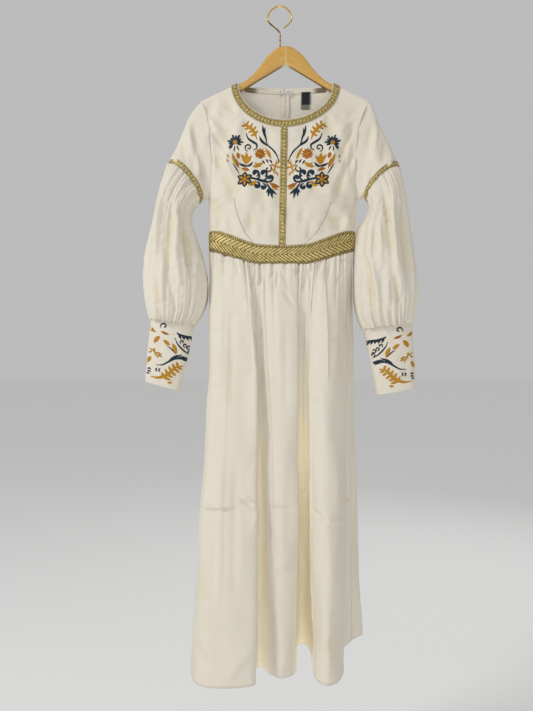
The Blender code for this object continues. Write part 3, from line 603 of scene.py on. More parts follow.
def directions(grid, axis):
    """The way a grid runs along one axis at each point, halfway between its two steps."""
    steps = np.diff(grid, axis=axis)
    steps /= np.linalg.norm(steps, axis=-1, keepdims=True) + 1e-9
    first, last = np.take(steps, [0], axis=axis), np.take(steps, [-1], axis=axis)
    return np.concatenate([first, steps], axis=axis) + np.concatenate([steps, last], axis=axis)


def normals(grid, closed=False):
    """Outward directions of a grid whose rows run down and columns run to the right."""
    if closed:
        grid = np.concatenate([grid[:, -1:], grid, grid[:, :1]], axis=1)
    out = np.cross(directions(grid, 0), directions(grid, 1))
    out /= np.linalg.norm(out, axis=-1, keepdims=True) + 1e-9
    return out[:, 1:-1] if closed else out


def moved_out(grid, distance, closed=False):
    """A grid lifted along its outward directions by one distance or one for each point."""
    return grid + normals(grid, closed) * np.asarray(distance, float)[..., None]


print("halfway along a spline:", spline([(0, 0), (1, 1), (2, 0)], [0.5])[0])

# %% [markdown]
# ## The body's form
# The dress hangs nearly flat: a ridge runs along the shoulders, the bodice is a lens in section
# that is deepest at the middle, and the bust adds a soft fullness. The formula gives a depth
# at each place, so a seam or a stitch can be set on the cloth anywhere.

# %% Form of the bodice


def shoulder_line(x):
    """Height of the shoulder seam; x is measured from the middle line."""
    return NECK_TOP - (np.abs(x) - NECK_HALF) * SHOULDER_SLOPE


def depth(x, z, bust):
    """How far the cloth stands from the middle plane, x being measured from the middle line."""
    side = np.clip(np.abs(x) / along(REACH, z), 0.0, 1.0)
    lens = along(DEPTH, z) * (1.0 - side ** 2.5) ** 0.6
    fall = (shoulder_line(x) - z) / math.hypot(1.0, SHOULDER_SLOPE)
    near = np.clip(fall, 0.0, RIDGE)
    ridge = np.sqrt(RIDGE ** 2 - (RIDGE - near) ** 2)
    away = (np.abs(x) - BUST_X) ** 2 + (z - BUST_Z) ** 2
    fullness = bust * np.exp(-away / (2 * BUST_SPREAD ** 2))
    return ridge + (lens + fullness - ridge) * smooth(fall, 0.0, RIDGE_FADE)


def waist_height(x, drop):
    """Height of the waist seam, which dips in the middle."""
    share = (np.abs(x) - WAIST_LEVEL_HALF) / (WAIST_RISE_END - WAIST_LEVEL_HALF)
    return WAIST_SIDE_Z - drop * (1.0 - np.clip(share, 0.0, 1.0) ** WAIST_CURVE)


def neck_edge(angle, drop):
    """Points (x, z) of half a neck line, from the shoulder at 0 to the middle."""
    return np.stack([NECK_HALF * np.cos(angle), NECK_TOP - drop * np.sin(angle)], axis=-1)


def armhole_edge(shares):
    """Points (x, z) down the armhole seam."""
    fine = spline(ARMHOLE, np.linspace(0, len(ARMHOLE) - 1, 201))
    return by_length(fine, shares)


print(f"armhole is {travelled(armhole_edge(np.linspace(0, 1, 50)))[-1]:.0f} mm long in front")

# %% [markdown]
# ## From a grid to a piece of cloth
# A grid becomes a mesh of four-sided faces, and the Solidify modifier gives it the thickness
# of cloth, inwards, so its outer face stays on the solid. Numbers such as tone or a painted
# shade go on the points for the materials to read.


def make_mesh(name, points, faces, material, **values):
    """A smooth mesh piece with one number, or one vector, a point for each named value."""
    mesh = bpy.data.meshes.new(name)
    mesh.from_pydata((np.asarray(points).reshape(-1, 3) * MM).tolist(), [], faces)
    for key, numbers in values.items():
        numbers = np.asarray(numbers, np.float32)
        if numbers.shape[-1:] == (3,) and numbers.size == 3 * len(mesh.vertices):
            layer = mesh.attributes.new(key, "FLOAT_VECTOR", "POINT")
            layer.data.foreach_set("vector", numbers.ravel())
        else:
            layer = mesh.attributes.new(key, "FLOAT", "POINT")
            layer.data.foreach_set("value", numbers.ravel())
    mesh.shade_smooth()
    mesh.materials.append(material)
    piece = bpy.data.objects.new(name, mesh)
    scene.collection.objects.link(piece)
    return piece


def grid_faces(rows, columns, closed=False):
    """Four-sided faces that look outwards."""
    number = np.arange(rows * columns).reshape(rows, columns)
    if closed:
        number = np.concatenate([number, number[:, :1]], axis=1)
    return np.stack([number[:-1, :-1], number[1:, :-1], number[1:, 1:], number[:-1, 1:]],
                    axis=-1).reshape(-1, 4).tolist()


def thicken(piece, thickness):
    """Give a sheet its thickness, inwards where thickness is positive."""
    solidify = piece.modifiers.new("Cloth thickness", "SOLIDIFY")
    solidify.thickness = thickness * MM
    solidify.offset = -1.0
    return piece


def finish_piece(piece, node, body="dress"):
    """Ride a body and stand for a solid."""
    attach(piece, body)
    if node:
        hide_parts(node)
    return piece


# %% Cloth from a grid
# The bottom of each fold gets a painted shade, warm and darker: FOLD_BOTTOM is how deep the fold is
# where that shade is fullest, the next number how strong it is.
FOLD_BOTTOM, FOLD_SHADE = 4.0, 0.4  # mm deep where a fold is warmest, and how warm


def joined(tubes):
    """One list of points and one of faces from many pairs of rings and their faces."""
    points, faces = [], []
    for rings, ring_faces in tubes:
        faces.extend([[corner + len(points) for corner in face] for face in ring_faces])
        points.extend(rings.reshape(-1, 3))
    return points, faces


def cloth(node, grid, relief, closed=False, through=0.0):
    """One panel: the grid with its relief, as thick as cloth, standing for its solid."""
    shaped = moved_out(grid, relief, closed)
    # painted shade, warm and darker, at the bottom of each fold
    hollow = np.clip(-relief / FOLD_BOTTOM, 0.0, 1.0) * FOLD_SHADE
    piece = make_mesh("cloth_" + node, shaped, grid_faces(*grid.shape[:2], closed), cotton,
                      hollow=hollow, through=through + 0 * hollow)
    thicken(piece, CLOTH)
    finish_piece(piece, node)
    return shaped


print("cloth is", CLOTH, "mm thick")

# %% [markdown]
# ## Folds that never repeat
# Real creases differ in length, depth and spacing. Three functions make them: ripples is a
# slow uneven swell, gathers is a row of pleats below a gathered seam that die away at
# different depths, and creases draws each ridge (+) or hollow (-) of a table along its line.
# A fourth, pleat_edges, lets cloth lie over itself: it rises slowly and drops at once.

# %% Helpers for relief


def ripples(first, second, size, seed, waves=9):
    """An uneven swell of about -1 to 1, with hollows about size mm apart."""
    draw = np.random.default_rng(seed)
    total = 0.0
    for heading, pitch, phase in draw.uniform((0, 0.6, 0), (math.tau, 1.8, math.tau), (waves, 3)):
        total = total + np.sin((first * math.cos(heading) + second * math.sin(heading))
                               * math.tau / (size * pitch) + phase)
    return total / math.sqrt(waves)


def gathers(around, down, total, layers, seed):
    """Pleats below a gathered seam: around is mm along it, and total is its whole length."""
    draw = np.random.default_rng(seed)
    relief = 0.0
    for pitch, length, rise in layers:
        turn = around / total * math.tau
        warp = sum(draw.uniform(0.3, 0.9) * np.sin(cycles * turn + draw.uniform(0, math.tau))
                   for cycles in (3, 7, 11, 17))
        uneven = sum(np.sin(cycles * turn + draw.uniform(0, math.tau)) for cycles in (5, 9, 14))
        reach = length * (1.0 + 0.22 * uneven)
        pleat = 2.0 * np.abs(np.sin(round(total / pitch) * turn / 2 + warp)) ** 0.8 - 1.0
        relief = relief + rise * pleat * np.exp(-(down / reach) ** 1.4)
    return relief


def creases(x, z, table):
    """Ridges and hollows along straight lines: x and z of both ends, half width and rise."""
    relief = np.zeros(np.broadcast(x, z).shape)
    for from_x, from_z, to_x, to_z, half_width, rise in table:
        line = np.array([to_x - from_x, to_z - from_z], float)
        share = ((x - from_x) * line[0] + (z - from_z) * line[1]) / (line @ line)
        off = ((x - from_x) * line[1] - (z - from_z) * line[0]) / np.linalg.norm(line)
        ends = smooth(share, -0.05, 0.3) * (1.0 - smooth(share, 0.6, 1.05))
        relief += rise * ends * np.exp(-(off / half_width) ** 2)
    return relief


def pleat_edges(x, z, table):
    """Cloth folded over itself: it stands up beside a line and drops sharply past it."""
    relief = np.zeros(np.broadcast(x, z).shape)
    for rise, spread, *line in table:
        heights, places = np.array(line[1::2], float), np.array(line[0::2], float)
        order = np.argsort(heights)
        off = (x - np.interp(z, heights[order], places[order])) * (1 if spread > 0 else -1)
        ends = smooth(z, heights.min(), heights.min() + 60.0) * (
            1.0 - smooth(z, heights.max() - 25.0, heights.max()))
        relief += rise * ends * np.exp(np.minimum(off, 0.0) / abs(spread)) * smooth(-off, -1.2, 1.2)
    return relief


print(f"a swell of 50 mm reaches {ripples(np.arange(300.0), 0.0, 50.0, 1).max():.1f} at most")

# %% [markdown]
# ## The bodice
# The front is one panel with two curved bust darts a side, and the back is two panels that meet
# at the zip. A Coons patch fills the space between four edges: shoulder and neck, waist, armhole
# and side, and the middle line. The relief is a function of the place on the body, so that
# the embroidery can find the cloth that it lies on.

# %% Darts and creases of the bodice
BUST_DARTS = ((-102, -437, -95, -470), (-95, -470, -80, -508), (-80, -508, -56, -541),
              (112, -446, 100, -478), (100, -478, 80, -512), (80, -512, 48, -544))
SIDE_DARTS = ((-150, -461, -102, -437), (164, -457, 112, -446))
DART_GROOVES = tuple((*dart, 1.9, -1.3) for dart in BUST_DARTS + SIDE_DARTS)
FRONT_CREASES = (
    (-150, -326, -100, -436, 6.5, -1.7), (-140, -312, -90, -418, 5.6, 1.3),
    (-157, -446, -110, -426, 5, -1.2), (-22, -277, 2, -309, 4, 0.7),
    (-10, -285, 5, -321, 4, -0.6), (41, -290, 22, -312, 4, 0.7), (56, -285, 21, -329, 4, -0.6),
    (66, -280, 29, -319, 4, 0.6), (-150, -470, -146, -535, 6, 1.8),
    (-138, -462, -132, -540, 5, -1.6), (-122, -458, -116, -530, 4.8, 1.4),
    (-178, -236, -120, -300, 5.6, 1.8), (-166, -262, -118, -338, 5.2, -1.8),
    (-150, -222, -112, -262, 4.8, -1.2), (-152, -300, -142, -400, 4.8, 1.4),
    (176, -240, 128, -296, 5.6, 1.6), (166, -270, 132, -352, 5.6, -2.0),
    (154, -300, 146, -410, 4.8, 1.8), (166, -330, 118, -440, 6.5, -1.6),
    (156, -318, 108, -424, 5.6, 1.2), (150, -466, 146, -540, 6, 1.6),
    (136, -470, 130, -540, 6, -1.6), (-60, -455, -52, -530, 6.5, 1.6),
    (-34, -440, -40, -538, 7.5, -1.4), (40, -452, 34, -536, 7.5, 1.5),
    (66, -480, 60, -536, 5.2, -1.3), (-18, -300, -30, -360, 4.8, 0.9),
    (24, -296, 32, -350, 4.8, 0.9), (92, -232, 128, -262, 5.2, 1.0),
    (-84, -236, -118, -272, 5.2, 1.0),
)
BACK_CREASES = (
    (-160, -430, -90, -380, 9, -2.2), (-158, -445, -100, -412, 7, 1.6),
    (162, -432, 96, -370, 9, -2.2), (160, -446, 100, -420, 7, 1.7),
    (-140, -240, -70, -290, 10, 1.3), (132, -238, 72, -300, 10, 1.4),
    (-110, -470, -84, -552, 9, 1.8), (-64, -470, -52, -552, 8, -1.8),
    (104, -468, 86, -552, 9, 1.7), (60, -474, 54, -550, 8, -1.7),
    (-34, -500, -28, -556, 6, 1.2), (36, -500, 28, -556, 6, 1.2),
)
print("creases on the bodice:", len(FRONT_CREASES) + len(BACK_CREASES))

# %% Places on the bodice
NECK_CALM = 45.0  # below the back neck line, where the back is smooth under its braid
TOP_ROWS = (0.0, 0.35, 0.8, 1.4, 2.2, 3.2, 4.5, 6.0, 8.0, 10.5, 13.5, 17.0)
ROW_STEP = 2.8


def side_edge():
    """Polyline down the armhole and the side seam to the waist."""
    return np.concatenate([armhole_edge(np.linspace(0.0, 1.0, 120)),
                           by_length([ARMHOLE[-1], (along(REACH, WAIST_SIDE_Z), WAIST_SIDE_Z)],
                                     np.linspace(0.02, 1.0, 50))])


SIDE_LENGTH = travelled(side_edge())[-1]
SASH_SHARE = 1.0 - SASH_WIDTH / SIDE_LENGTH


def panel_places(across, down, neck_drop, waist_drop, neck_angles):
    """Places (x, z) in half a panel: across 0 is the side, 1 the middle; down 1 is the waist."""
    step = across * (SHOULDER_COLUMNS + len(neck_angles) - 1)
    angle = np.radians(np.interp(step - SHOULDER_COLUMNS, range(len(neck_angles)), neck_angles))
    out = SHOULDER_HALF + (NECK_HALF - SHOULDER_HALF) * step / SHOULDER_COLUMNS
    top = np.where((step < SHOULDER_COLUMNS)[:, None],
                   np.stack([out, shoulder_line(out)], axis=-1), neck_edge(angle, neck_drop))
    waist_x = along(REACH, WAIST_SIDE_Z) * np.cos(across * math.pi / 2)
    bottom = np.stack([waist_x, waist_height(waist_x, waist_drop)], axis=-1)
    side = by_length(side_edge(), down)
    middle = by_length([(0.0, NECK_TOP - neck_drop), (0.0, WAIST_SIDE_Z - waist_drop)], down)
    corners = (side_edge()[0], np.array((0.0, NECK_TOP - neck_drop)),
               side_edge()[-1], np.array((0.0, WAIST_SIDE_Z - waist_drop)))
    a, d = across[None, :, None], down[:, None, None]
    return ((1 - a) * side[:, None] + a * middle[:, None] + (1 - d) * top[None]
            + d * bottom[None] - (1 - a) * ((1 - d) * corners[0] + d * corners[2])
            - a * ((1 - d) * corners[1] + d * corners[3]))


def calm(x, z, neck_drop, waist_drop):
    """1 on open cloth, 0 at the shoulder ridge, under the braids and at the side seam."""
    fall = (shoulder_line(x) - z) / math.hypot(1.0, SHOULDER_SLOPE)
    side = 1.0 - np.abs(x) / along(REACH, z)
    from_neck = np.hypot(x / NECK_HALF, (NECK_TOP - z) / neck_drop) - 1.0
    above_waist = z - waist_height(x, waist_drop)
    return (smooth(fall, 8.0, 32.0) * smooth(side, 0.0, 0.06) * smooth(from_neck, 0.19, 0.32)
            * smooth(above_waist, SASH_WIDTH + 3.0, SASH_WIDTH + 20.0))


print(f"the side edge is {SIDE_LENGTH:.0f} mm long, {SASH_WIDTH:.0f} mm of it under the braid")

# %% Relief and faces of the bodice


def front_relief(x, z):
    """Relief of the front; x is measured from the middle line."""
    dress_x = x + centre(z)
    swell = 2.0 * ripples(x, z, 58.0, 3) + 0.8 * ripples(x, z, 22.0, 4)
    return (calm(x, z, FRONT_NECK_DROP, FRONT_WAIST_DROP)
            * (swell + 2.0 * creases(dress_x, z, FRONT_CREASES))
            + creases(dress_x, z, DART_GROOVES))


def back_relief(x, z):
    """Relief of the back, which is flat beside the zip."""
    swell = 1.0 * ripples(x, z, 70.0, 5) + 0.35 * ripples(x, z, 26.0, 6)
    near_zip = smooth(np.abs(x), 4.0, 26.0)
    return (calm(x, z, NECK_CALM, BACK_WAIST_DROP) * near_zip
            * (swell + 2.2 * creases(x + centre(z), z, BACK_CREASES)))


def front_face(x, z, lift=0.0):
    """Points on the front's cloth; x is measured from the middle line."""
    y = -depth(x, z, BUST_RISE) - SEAM / 2 - front_relief(x, z) - lift
    return np.stack(np.broadcast_arrays(x + centre(z), y, z), axis=-1)


def plain_front(x, z):
    """The front without its relief."""
    return np.stack([x + centre(z), -depth(x, z, BUST_RISE) - SEAM / 2, z], axis=-1)


def plain_back(x, z):
    """The back without its relief."""
    return np.stack([x + centre(z), depth(x, z, 0.0) + SEAM / 2, z], axis=-1)


print(f"the bust stands {-front_face(BUST_X, BUST_Z)[1]:.0f} mm out from the middle plane")

# %% Bodice panels
down = np.concatenate([TOP_ROWS, np.arange(TOP_ROWS[-1] + ROW_STEP, SIDE_LENGTH, ROW_STEP),
                       [SIDE_LENGTH]]) / SIDE_LENGTH
across = np.concatenate([[0.0, 0.002, 0.006], np.linspace(0.012, 1.0, 60)])
half = panel_places(across, down, FRONT_NECK_DROP, FRONT_WAIST_DROP, FRONT_NECK_ANGLES)
places = np.concatenate([half * (-1.0, 1.0), half[:, -2::-1]], axis=1)
cloth("bodice_front", plain_front(places[..., 0], places[..., 1]),
      front_relief(places[..., 0], places[..., 1]))

across = np.concatenate([[0.0, 0.002, 0.006], np.linspace(0.012, 1.0, 44)])
half = panel_places(across, down, BACK_NECK_DROP, BACK_WAIST_DROP, BACK_NECK_ANGLES)
for side, sign in (("right", 1.0), ("left", -1.0)):
    x = half[..., 0] if sign > 0 else -half[:, ::-1, 0]
    z = half[..., 1] if sign > 0 else half[:, ::-1, 1]
    panel = plain_back(x, z)
    panel[:, -1 if sign > 0 else 0, 0] += sign * SEAM / 2
    cloth(f"bodice_back_{side}", panel, back_relief(x, z))

# %% [markdown]
# ## The skirt
# Each row of the skirt is a smooth closed curve through its fold lines. Fine gathers start at
# the waist seam and merge into broader pleats within a hand's width. Cloth that has lain
# folded keeps faint creases across, and a hem turned up on the inside shows as a line.

# %% Creases and pleats of the skirt
SKIRT_CREASES = (
    (-176, -1112, -84, -1104, 5, 2.8), (-176, -1119, -88, -1111, 4, -2.4),
    (-90, -1090, -54, -1112, 4, -3.2), (-86, -1082, -56, -1099, 4, 2.8),
    (-52, -1114, -60, -1156, 5, 1.4), (-81, -1106, -52, -1108, 4, 1.4),
    (-28, -1112, 34, -1117, 4, -2.6), (40, -1086, 65, -1094, 5, 2.0),
    (42, -1095, 62, -1085, 5, -1.8), (70, -1118, 100, -1140, 4, -2.8),
    (94, -1142, 144, -1144, 4, 2.4), (142, -1112, 176, -1112, 4, -2.6),
    (-23, -1064, -2, -1085, 6, -1.3), (-173, -1320, -130, -1308, 7, 2.2),
    (-183, -1390, -152, -1438, 8, -2.2), (-120, -1468, -56, -1394, 10, 2.2),
    (-22, -1258, 30, -1220, 9, 2.0), (84, -1416, 120, -1394, 8, -2.2),
    (-12, -1464, 26, -1432, 8, 2.0), (156, -1347, 175, -1335, 6, -1.2),
    (-54, -607, -69, -641, 3.2, -2.6), (-36, -599, -56, -651, 3.6, -2.6),
    (-75, -592, -56, -585, 3.0, -2.2), (-24, -626, -15, -591, 3.2, -2.0),
    (-10, -640, -3, -591, 3.2, -2.4), (4, -640, 34, -681, 4.0, -2.2),
    (-2, -594, 17, -629, 3.2, -2.0), (42, -591, 31, -607, 5.0, -3.2),
    (55, -607, 47, -648, 4.0, -2.4), (61, -596, 66, -618, 2.8, -3.2),
    (98, -583, 80, -626, 4.0, 2.4), (133, -604, 119, -632, 3.4, -2.2),
    (129, -574, 153, -572, 2.8, -2.0), (-146, -569, -116, -572, 3.0, -1.8),
    (-146, -578, -112, -578, 3.0, 1.5), (-146, -596, -103, -602, 3.2, -1.8),
    (-97, -574, -90, -612, 3.2, -2.4), (110, -580, 104, -622, 3.2, -2.2),
    (62, -699, 98, -701, 3.2, 2.0), (108, -749, 146, -748, 3.0, -1.6),
    (-159, -662, -108, -663, 3.0, -1.5), (-94, -662, -73, -651, 3.2, 1.8),
    (-59, -743, -37, -725, 4.0, -1.8), (-158, -849, -107, -849, 3.0, -1.5),
    (6, -850, 33, -849, 3.0, -1.4), (-80, -668, -60, -680, 4.0, 1.8),
    (-128, -640, -130, -900, 6.0, 1.6), (-104, -660, -108, -940, 7.0, -1.7),
    (-128, -980, -136, -1380, 8.0, 1.8), (-98, -1000, -100, -1330, 9.0, -1.8),
    (122, -640, 120, -860, 7.0, 1.6), (10, -700, 12, -940, 8.0, -1.4),
    (-150, -1240, -96, -1236, 3.5, -1.1), (6, -980, 4, -1300, 9.0, 1.3),
    (120, -1000, 118, -1280, 8.0, 1.5),
)
# Height, fading distance (+ when the left side lies on top) and the line from top to bottom.
PLEAT_EDGES = (
    (3.0, 26, -68, -640, -60, -735, -52, -830, -51, -1300, -52, -1482),
    (4.5, 20, -36, -600, -32, -735, -25, -861, -18, -956, -12, -1250),
    (4.5, 30, 37, -660, 36, -900, 34, -1437),
    (4.5, -30, 64, -588, 59, -670, 52, -766, 51, -861, 49, -1400),
    (2.6, 14, 65, -789, 68, -861, 70, -1010, 70, -1411),
    (4.2, 20, 98, -590, 102, -703, 103, -860),
    (3.2, 26, 152, -718, 145, -831, 143, -1010, 135, -1387),
    (1.8, 24, -112, -700, -118, -960, -126, -1300),
)
print("creases on the skirt:", len(SKIRT_CREASES), "and pleat edges:", len(PLEAT_EDGES))

# %% Skirt rows and relief
HEM_DEPTH = 18.0
CREASED_HEIGHTS = (-1078.0, -1152.0)  # where it was folded flat; its rows are closer there
WAIST_GATHERS = ((8.0, 24.0, 1.2), (15.0, 55.0, 2.2), (31.0, 110.0, 2.8))
WAIST_ROUND = 640.0


def skirt_fold_lines(share):
    """Where each fold line of the skirt is at a share of its height, all round."""
    to_mid = 1.0 - (1.0 - min(share / MID, 1.0)) ** 2
    to_hem = max(share - MID, 0.0) / (1.0 - MID)
    points = []
    for folds, sign, drop in ((FRONT_FOLDS, -1.0, FRONT_WAIST_DROP),
                              (BACK_FOLDS, 1.0, BACK_WAIST_DROP)):
        for number, fold in enumerate(folds):
            from_middle = fold.waist_x - centre(WAIST_SIDE_Z)
            top = float(waist_height(from_middle, drop)) - 2.5 * SEAM
            seam = sign < 0 and number in (0, len(folds) - 1)
            waist_y = 0.0 if seam else sign * float(depth(from_middle, top, 0.0))
            x = fold.waist_x + (fold.mid_x - fold.waist_x) * to_mid
            y = waist_y + (fold.mid_y - waist_y) * to_mid
            points.append((x + (fold.hem_x - fold.mid_x) * to_hem,
                           y + (fold.hem_y - fold.mid_y) * to_hem,
                           top + (HEM_Z + fold.lift - top) * share))
    return np.array(points)


def skirt_grid(first, last, span_columns, rows):
    """The outer face of the skirt between two fold lines, and each point's share of height."""
    fine = np.interp(np.arange(*CREASED_HEIGHTS, -2.2), (HEM_Z, WAIST_SIDE_Z), (1.0, 0.0))
    shares = np.unique(np.concatenate([np.linspace(0.0, 1.0, rows) ** 1.15, fine]))
    places = np.linspace(first, last, (last - first) * span_columns + 1)
    grid = np.array([spline(skirt_fold_lines(share), places, True) for share in shares])
    for edge, beside in ((0, 1), (-1, -2)):
        step = grid[:, beside] - grid[:, edge]
        grid[:, edge] += step * SEAM / 2 / np.linalg.norm(step, axis=-1, keepdims=True)
    return grid, places[None, :] + 0 * shares[:, None], shares[:, None] + 0 * places[None, :]


def skirt_relief(places, shares, seed):
    """Gathers at the waist, swell between the folds and the step of the turned-up hem."""
    around = places / (len(FRONT_FOLDS) + len(BACK_FOLDS)) * WAIST_ROUND
    down_mm = shares * (WAIST_SIDE_Z - HEM_Z)
    pleats = gathers(around, down_mm, WAIST_ROUND, WAIST_GATHERS, seed)
    broad = 1.6 * ripples(around, down_mm * 0.12, 34.0, seed + 1)
    small = 0.45 * ripples(around, down_mm * 0.45, 20.0, seed + 2)
    hem = -0.7 * np.exp(-((down_mm - (WAIST_SIDE_Z - HEM_Z - HEM_DEPTH)) / 2.5) ** 2)
    edge = np.minimum(places - places[:, :1], places[:, -1:] - places)
    return (pleats + (broad + small) * smooth(shares, 0.0, 0.2)) * smooth(edge, 0.0, 0.35) + hem


def daylight(grid, share):
    """1 in the deep valleys in the middle of the skirt front, lit through from behind."""
    x, y = grid[..., 0], grid[..., 1]
    middle = smooth(x, -62.0, -50.0) * (1.0 - smooth(x, 70.0, 84.0))
    return smooth(y, -48.0, -30.0) * middle * smooth(share, 0.15, 0.5)


print("lowest fold line:", skirt_fold_lines(1.0)[:, 2].min())

# %% Skirt panels
right_seam = len(FRONT_FOLDS) - 1
back_seam = len(FRONT_FOLDS) + BACK_SEAM_FOLD
all_round = len(FRONT_FOLDS) + len(BACK_FOLDS)
SKIRT_PANELS = (("skirt_front", 0, right_seam, 14, 122, 11),
                ("skirt_back_right", right_seam, back_seam, 12, 90, 21),
                ("skirt_back_left", back_seam, all_round, 12, 90, 31))
skirt_cloths = {}
for node, first, last, span_columns, rows, seed in SKIRT_PANELS:
    grid, place, share = skirt_grid(first, last, span_columns, rows)
    relief = skirt_relief(place, share, seed)
    through = 0.0
    if node == "skirt_front":
        seam_calm = smooth(np.minimum(place - first, last - place), 0.0, 0.35)
        relief += seam_calm * (1.7 * creases(grid[..., 0], grid[..., 2], SKIRT_CREASES)
                               + pleat_edges(grid[..., 0], grid[..., 2], PLEAT_EDGES))
        through = seam_calm * daylight(grid, share)
    skirt_cloths[node] = cloth(node, grid, relief,
                               through=through)

# %% [markdown]
# ## The sleeves
# A sleeve is a short smooth cap, a balloon gathered at both ends and a deep flat cuff. Each is a
# loft: closed loops joined by smooth curves down the arm. The balloon's long folds come with
# its loops, and the gathers are added to them.

# %% Loops of a sleeve
CAP_ROWS, BALLOON_ROWS, CUFF_ROWS = 8, 13, 20  # rows from one section to the next
CAP_HALF_COLUMNS, BALLOON_COLUMNS, CUFF_COLUMNS = 48, 190, 110
SLEEVE_GATHERS = ((9.0, 18.0, 1.5), (17.0, 50.0, 2.4), (34.0, 120.0, 3.0))
CUFF_GATHERS = ((8.5, 20.0, 1.6), (15.0, 45.0, 2.6), (30.0, 90.0, 3.2))


def down_sleeve(section, side):
    """The direction along the sleeve, square to one of its sections."""
    across_it = np.array([section.inner_x - section.outer_x, 0.0,
                          section.inner_z - section.outer_z], float)
    sign = 1.0 if side == "left" else -1.0
    return sign * np.cross((0.0, 1.0, 0.0), across_it / np.linalg.norm(across_it))


def sleeve_loop(section, side, turns, wave=0.0):
    """One section of a sleeve as a loop, front first; wave moves each point in or out."""
    outer = np.array([section.outer_x, 0.0, section.outer_z], float)
    inner = np.array([section.inner_x, 0.0, section.inner_z], float)
    start, end = (outer, inner) if side == "left" else (inner, outer)
    middle, reach = (start + end) / 2, (start - end) / 2
    length = np.linalg.norm(reach)
    turn = np.reshape(turns, (-1, 1))
    flat_cos = np.sign(np.cos(turn)) * np.abs(np.cos(turn)) ** 0.9
    flat_sin = np.sign(np.sin(turn)) * np.abs(np.sin(turn)) ** 0.85
    wave = np.reshape(wave, (-1, 1))
    return (middle + reach / length * flat_cos * (length + wave)
            - np.array([0.0, 1.0, 0.0]) * flat_sin * (section.depth + wave)
            - down_sleeve(section, side) * section.bow * np.maximum(np.sin(turn), 0.0))


def armhole_loop(side, turns):
    """The armhole seam as a loop, front first, just outside the bodice's edge."""
    shares = (1.0 - np.cos(turns)) / 2
    if side == "right":
        shares = 1.0 - shares
    step = 0.01
    x, z = armhole_edge(shares).T
    run = armhole_edge(np.minimum(shares + step, 1)) - armhole_edge(np.maximum(shares - step, 0))
    away = np.stack([-run[:, 1], run[:, 0]], axis=-1)
    away *= 2.4 * SEAM / np.linalg.norm(away, axis=-1, keepdims=True)
    facing = np.sin(turns).round(6)
    y = np.where(facing > 0, -depth(x, z, BUST_RISE) - SEAM / 2, depth(x, z, 0.0) + SEAM / 2)
    y = np.where(facing == 0, 0.0, y)
    sign = -1.0 if side == "left" else 1.0
    return np.stack([sign * (x + away[:, 0]) + centre(z), y, z + away[:, 1]], axis=-1)


def loft(loops, rows_between):
    loops = np.asarray(loops)
    return spline(loops, np.linspace(0, len(loops) - 1, (len(loops) - 1) * rows_between + 1))


def balloon_folds(turns, row, rows):
    folds = np.sin(BALLOON_FOLDS * turns + 0.6) + 0.5 * np.sin(4 * turns + 2.0)
    folds *= np.abs(np.sin(turns))
    return BALLOON_FOLD_RISE * math.sin(math.pi * row / (rows - 1)) ** 2 * folds


def around_and_down(grid):
    """mm round each loop from its first column, as on the middle loop, and mm down."""
    ring = np.concatenate([grid, grid[:, :1]], axis=1)
    steps = np.linalg.norm(np.diff(ring, axis=1), axis=-1).mean(axis=0)
    fall = np.linalg.norm(np.diff(grid, axis=0), axis=-1).mean(axis=1)
    around = np.insert(np.cumsum(steps), 0, 0.0)
    fallen = np.insert(np.cumsum(fall), 0, 0.0)
    return (around[None, :-1] + 0 * fallen[:, None], fallen[:, None] + 0 * around[None, :-1],
            around[-1])


print("a balloon has", BALLOON_COLUMNS, "columns")

# %% Creases of the sleeves
CAP_CREASES = {
    "left": ((-196, -262, -178, -330, 6, -1.8), (-206, -270, -192, -350, 6, 1.8),
             (-222, -300, -206, -372, 6, -1.6), (-184, -330, -180, -410, 5, 1.6),
             (-238, -330, -224, -380, 5, 1.4), (-190, -420, -168, -360, 5, -1.6)),
    "right": ((206, -260, 190, -330, 6, -1.8), (218, -268, 206, -350, 6, 1.9),
              (236, -300, 222, -372, 6, -1.7), (196, -330, 192, -412, 5, 1.6),
              (250, -320, 240, -380, 5, 1.5), (204, -416, 188, -350, 5, -1.4)),
}
BALLOON_CREASES = {
    "left": ((-236, -450, -246, -650, 7, -2.6), (-222, -470, -226, -600, 6, 2.2),
             (-262, -440, -276, -600, 7, 2.4), (-284, -480, -292, -660, 5, -2.0),
             (-206, -500, -196, -620, 6, -2.2), (-216, -640, -222, -560, 5, 1.8),
             (-190, -560, -184, -660, 6, 2.0), (-252, -560, -258, -690, 6, 2.0),
             (-240, -610, -230, -690, 4, -1.8), (-270, -620, -264, -696, 4, -1.8)),
    "right": ((228, -430, 244, -600, 6, -2.8), (244, -600, 262, -690, 6, -2.4),
              (240, -440, 256, -640, 6, 2.6), (176, -530, 206, -700, 6, -2.4),
              (190, -540, 216, -690, 5, 2.0), (264, -450, 280, -640, 6, -2.0),
              (214, -480, 220, -620, 6, 2.0), (284, -520, 290, -670, 5, 1.8),
              (204, -500, 196, -600, 5, -1.8), (232, -620, 240, -700, 4, 1.8)),
}
print("creases on the left sleeve:", len(CAP_CREASES["left"]) + len(BALLOON_CREASES["left"]))

# %% Caps, balloons and cuffs
sleeve_edges = {}
cuff_cloths = {}


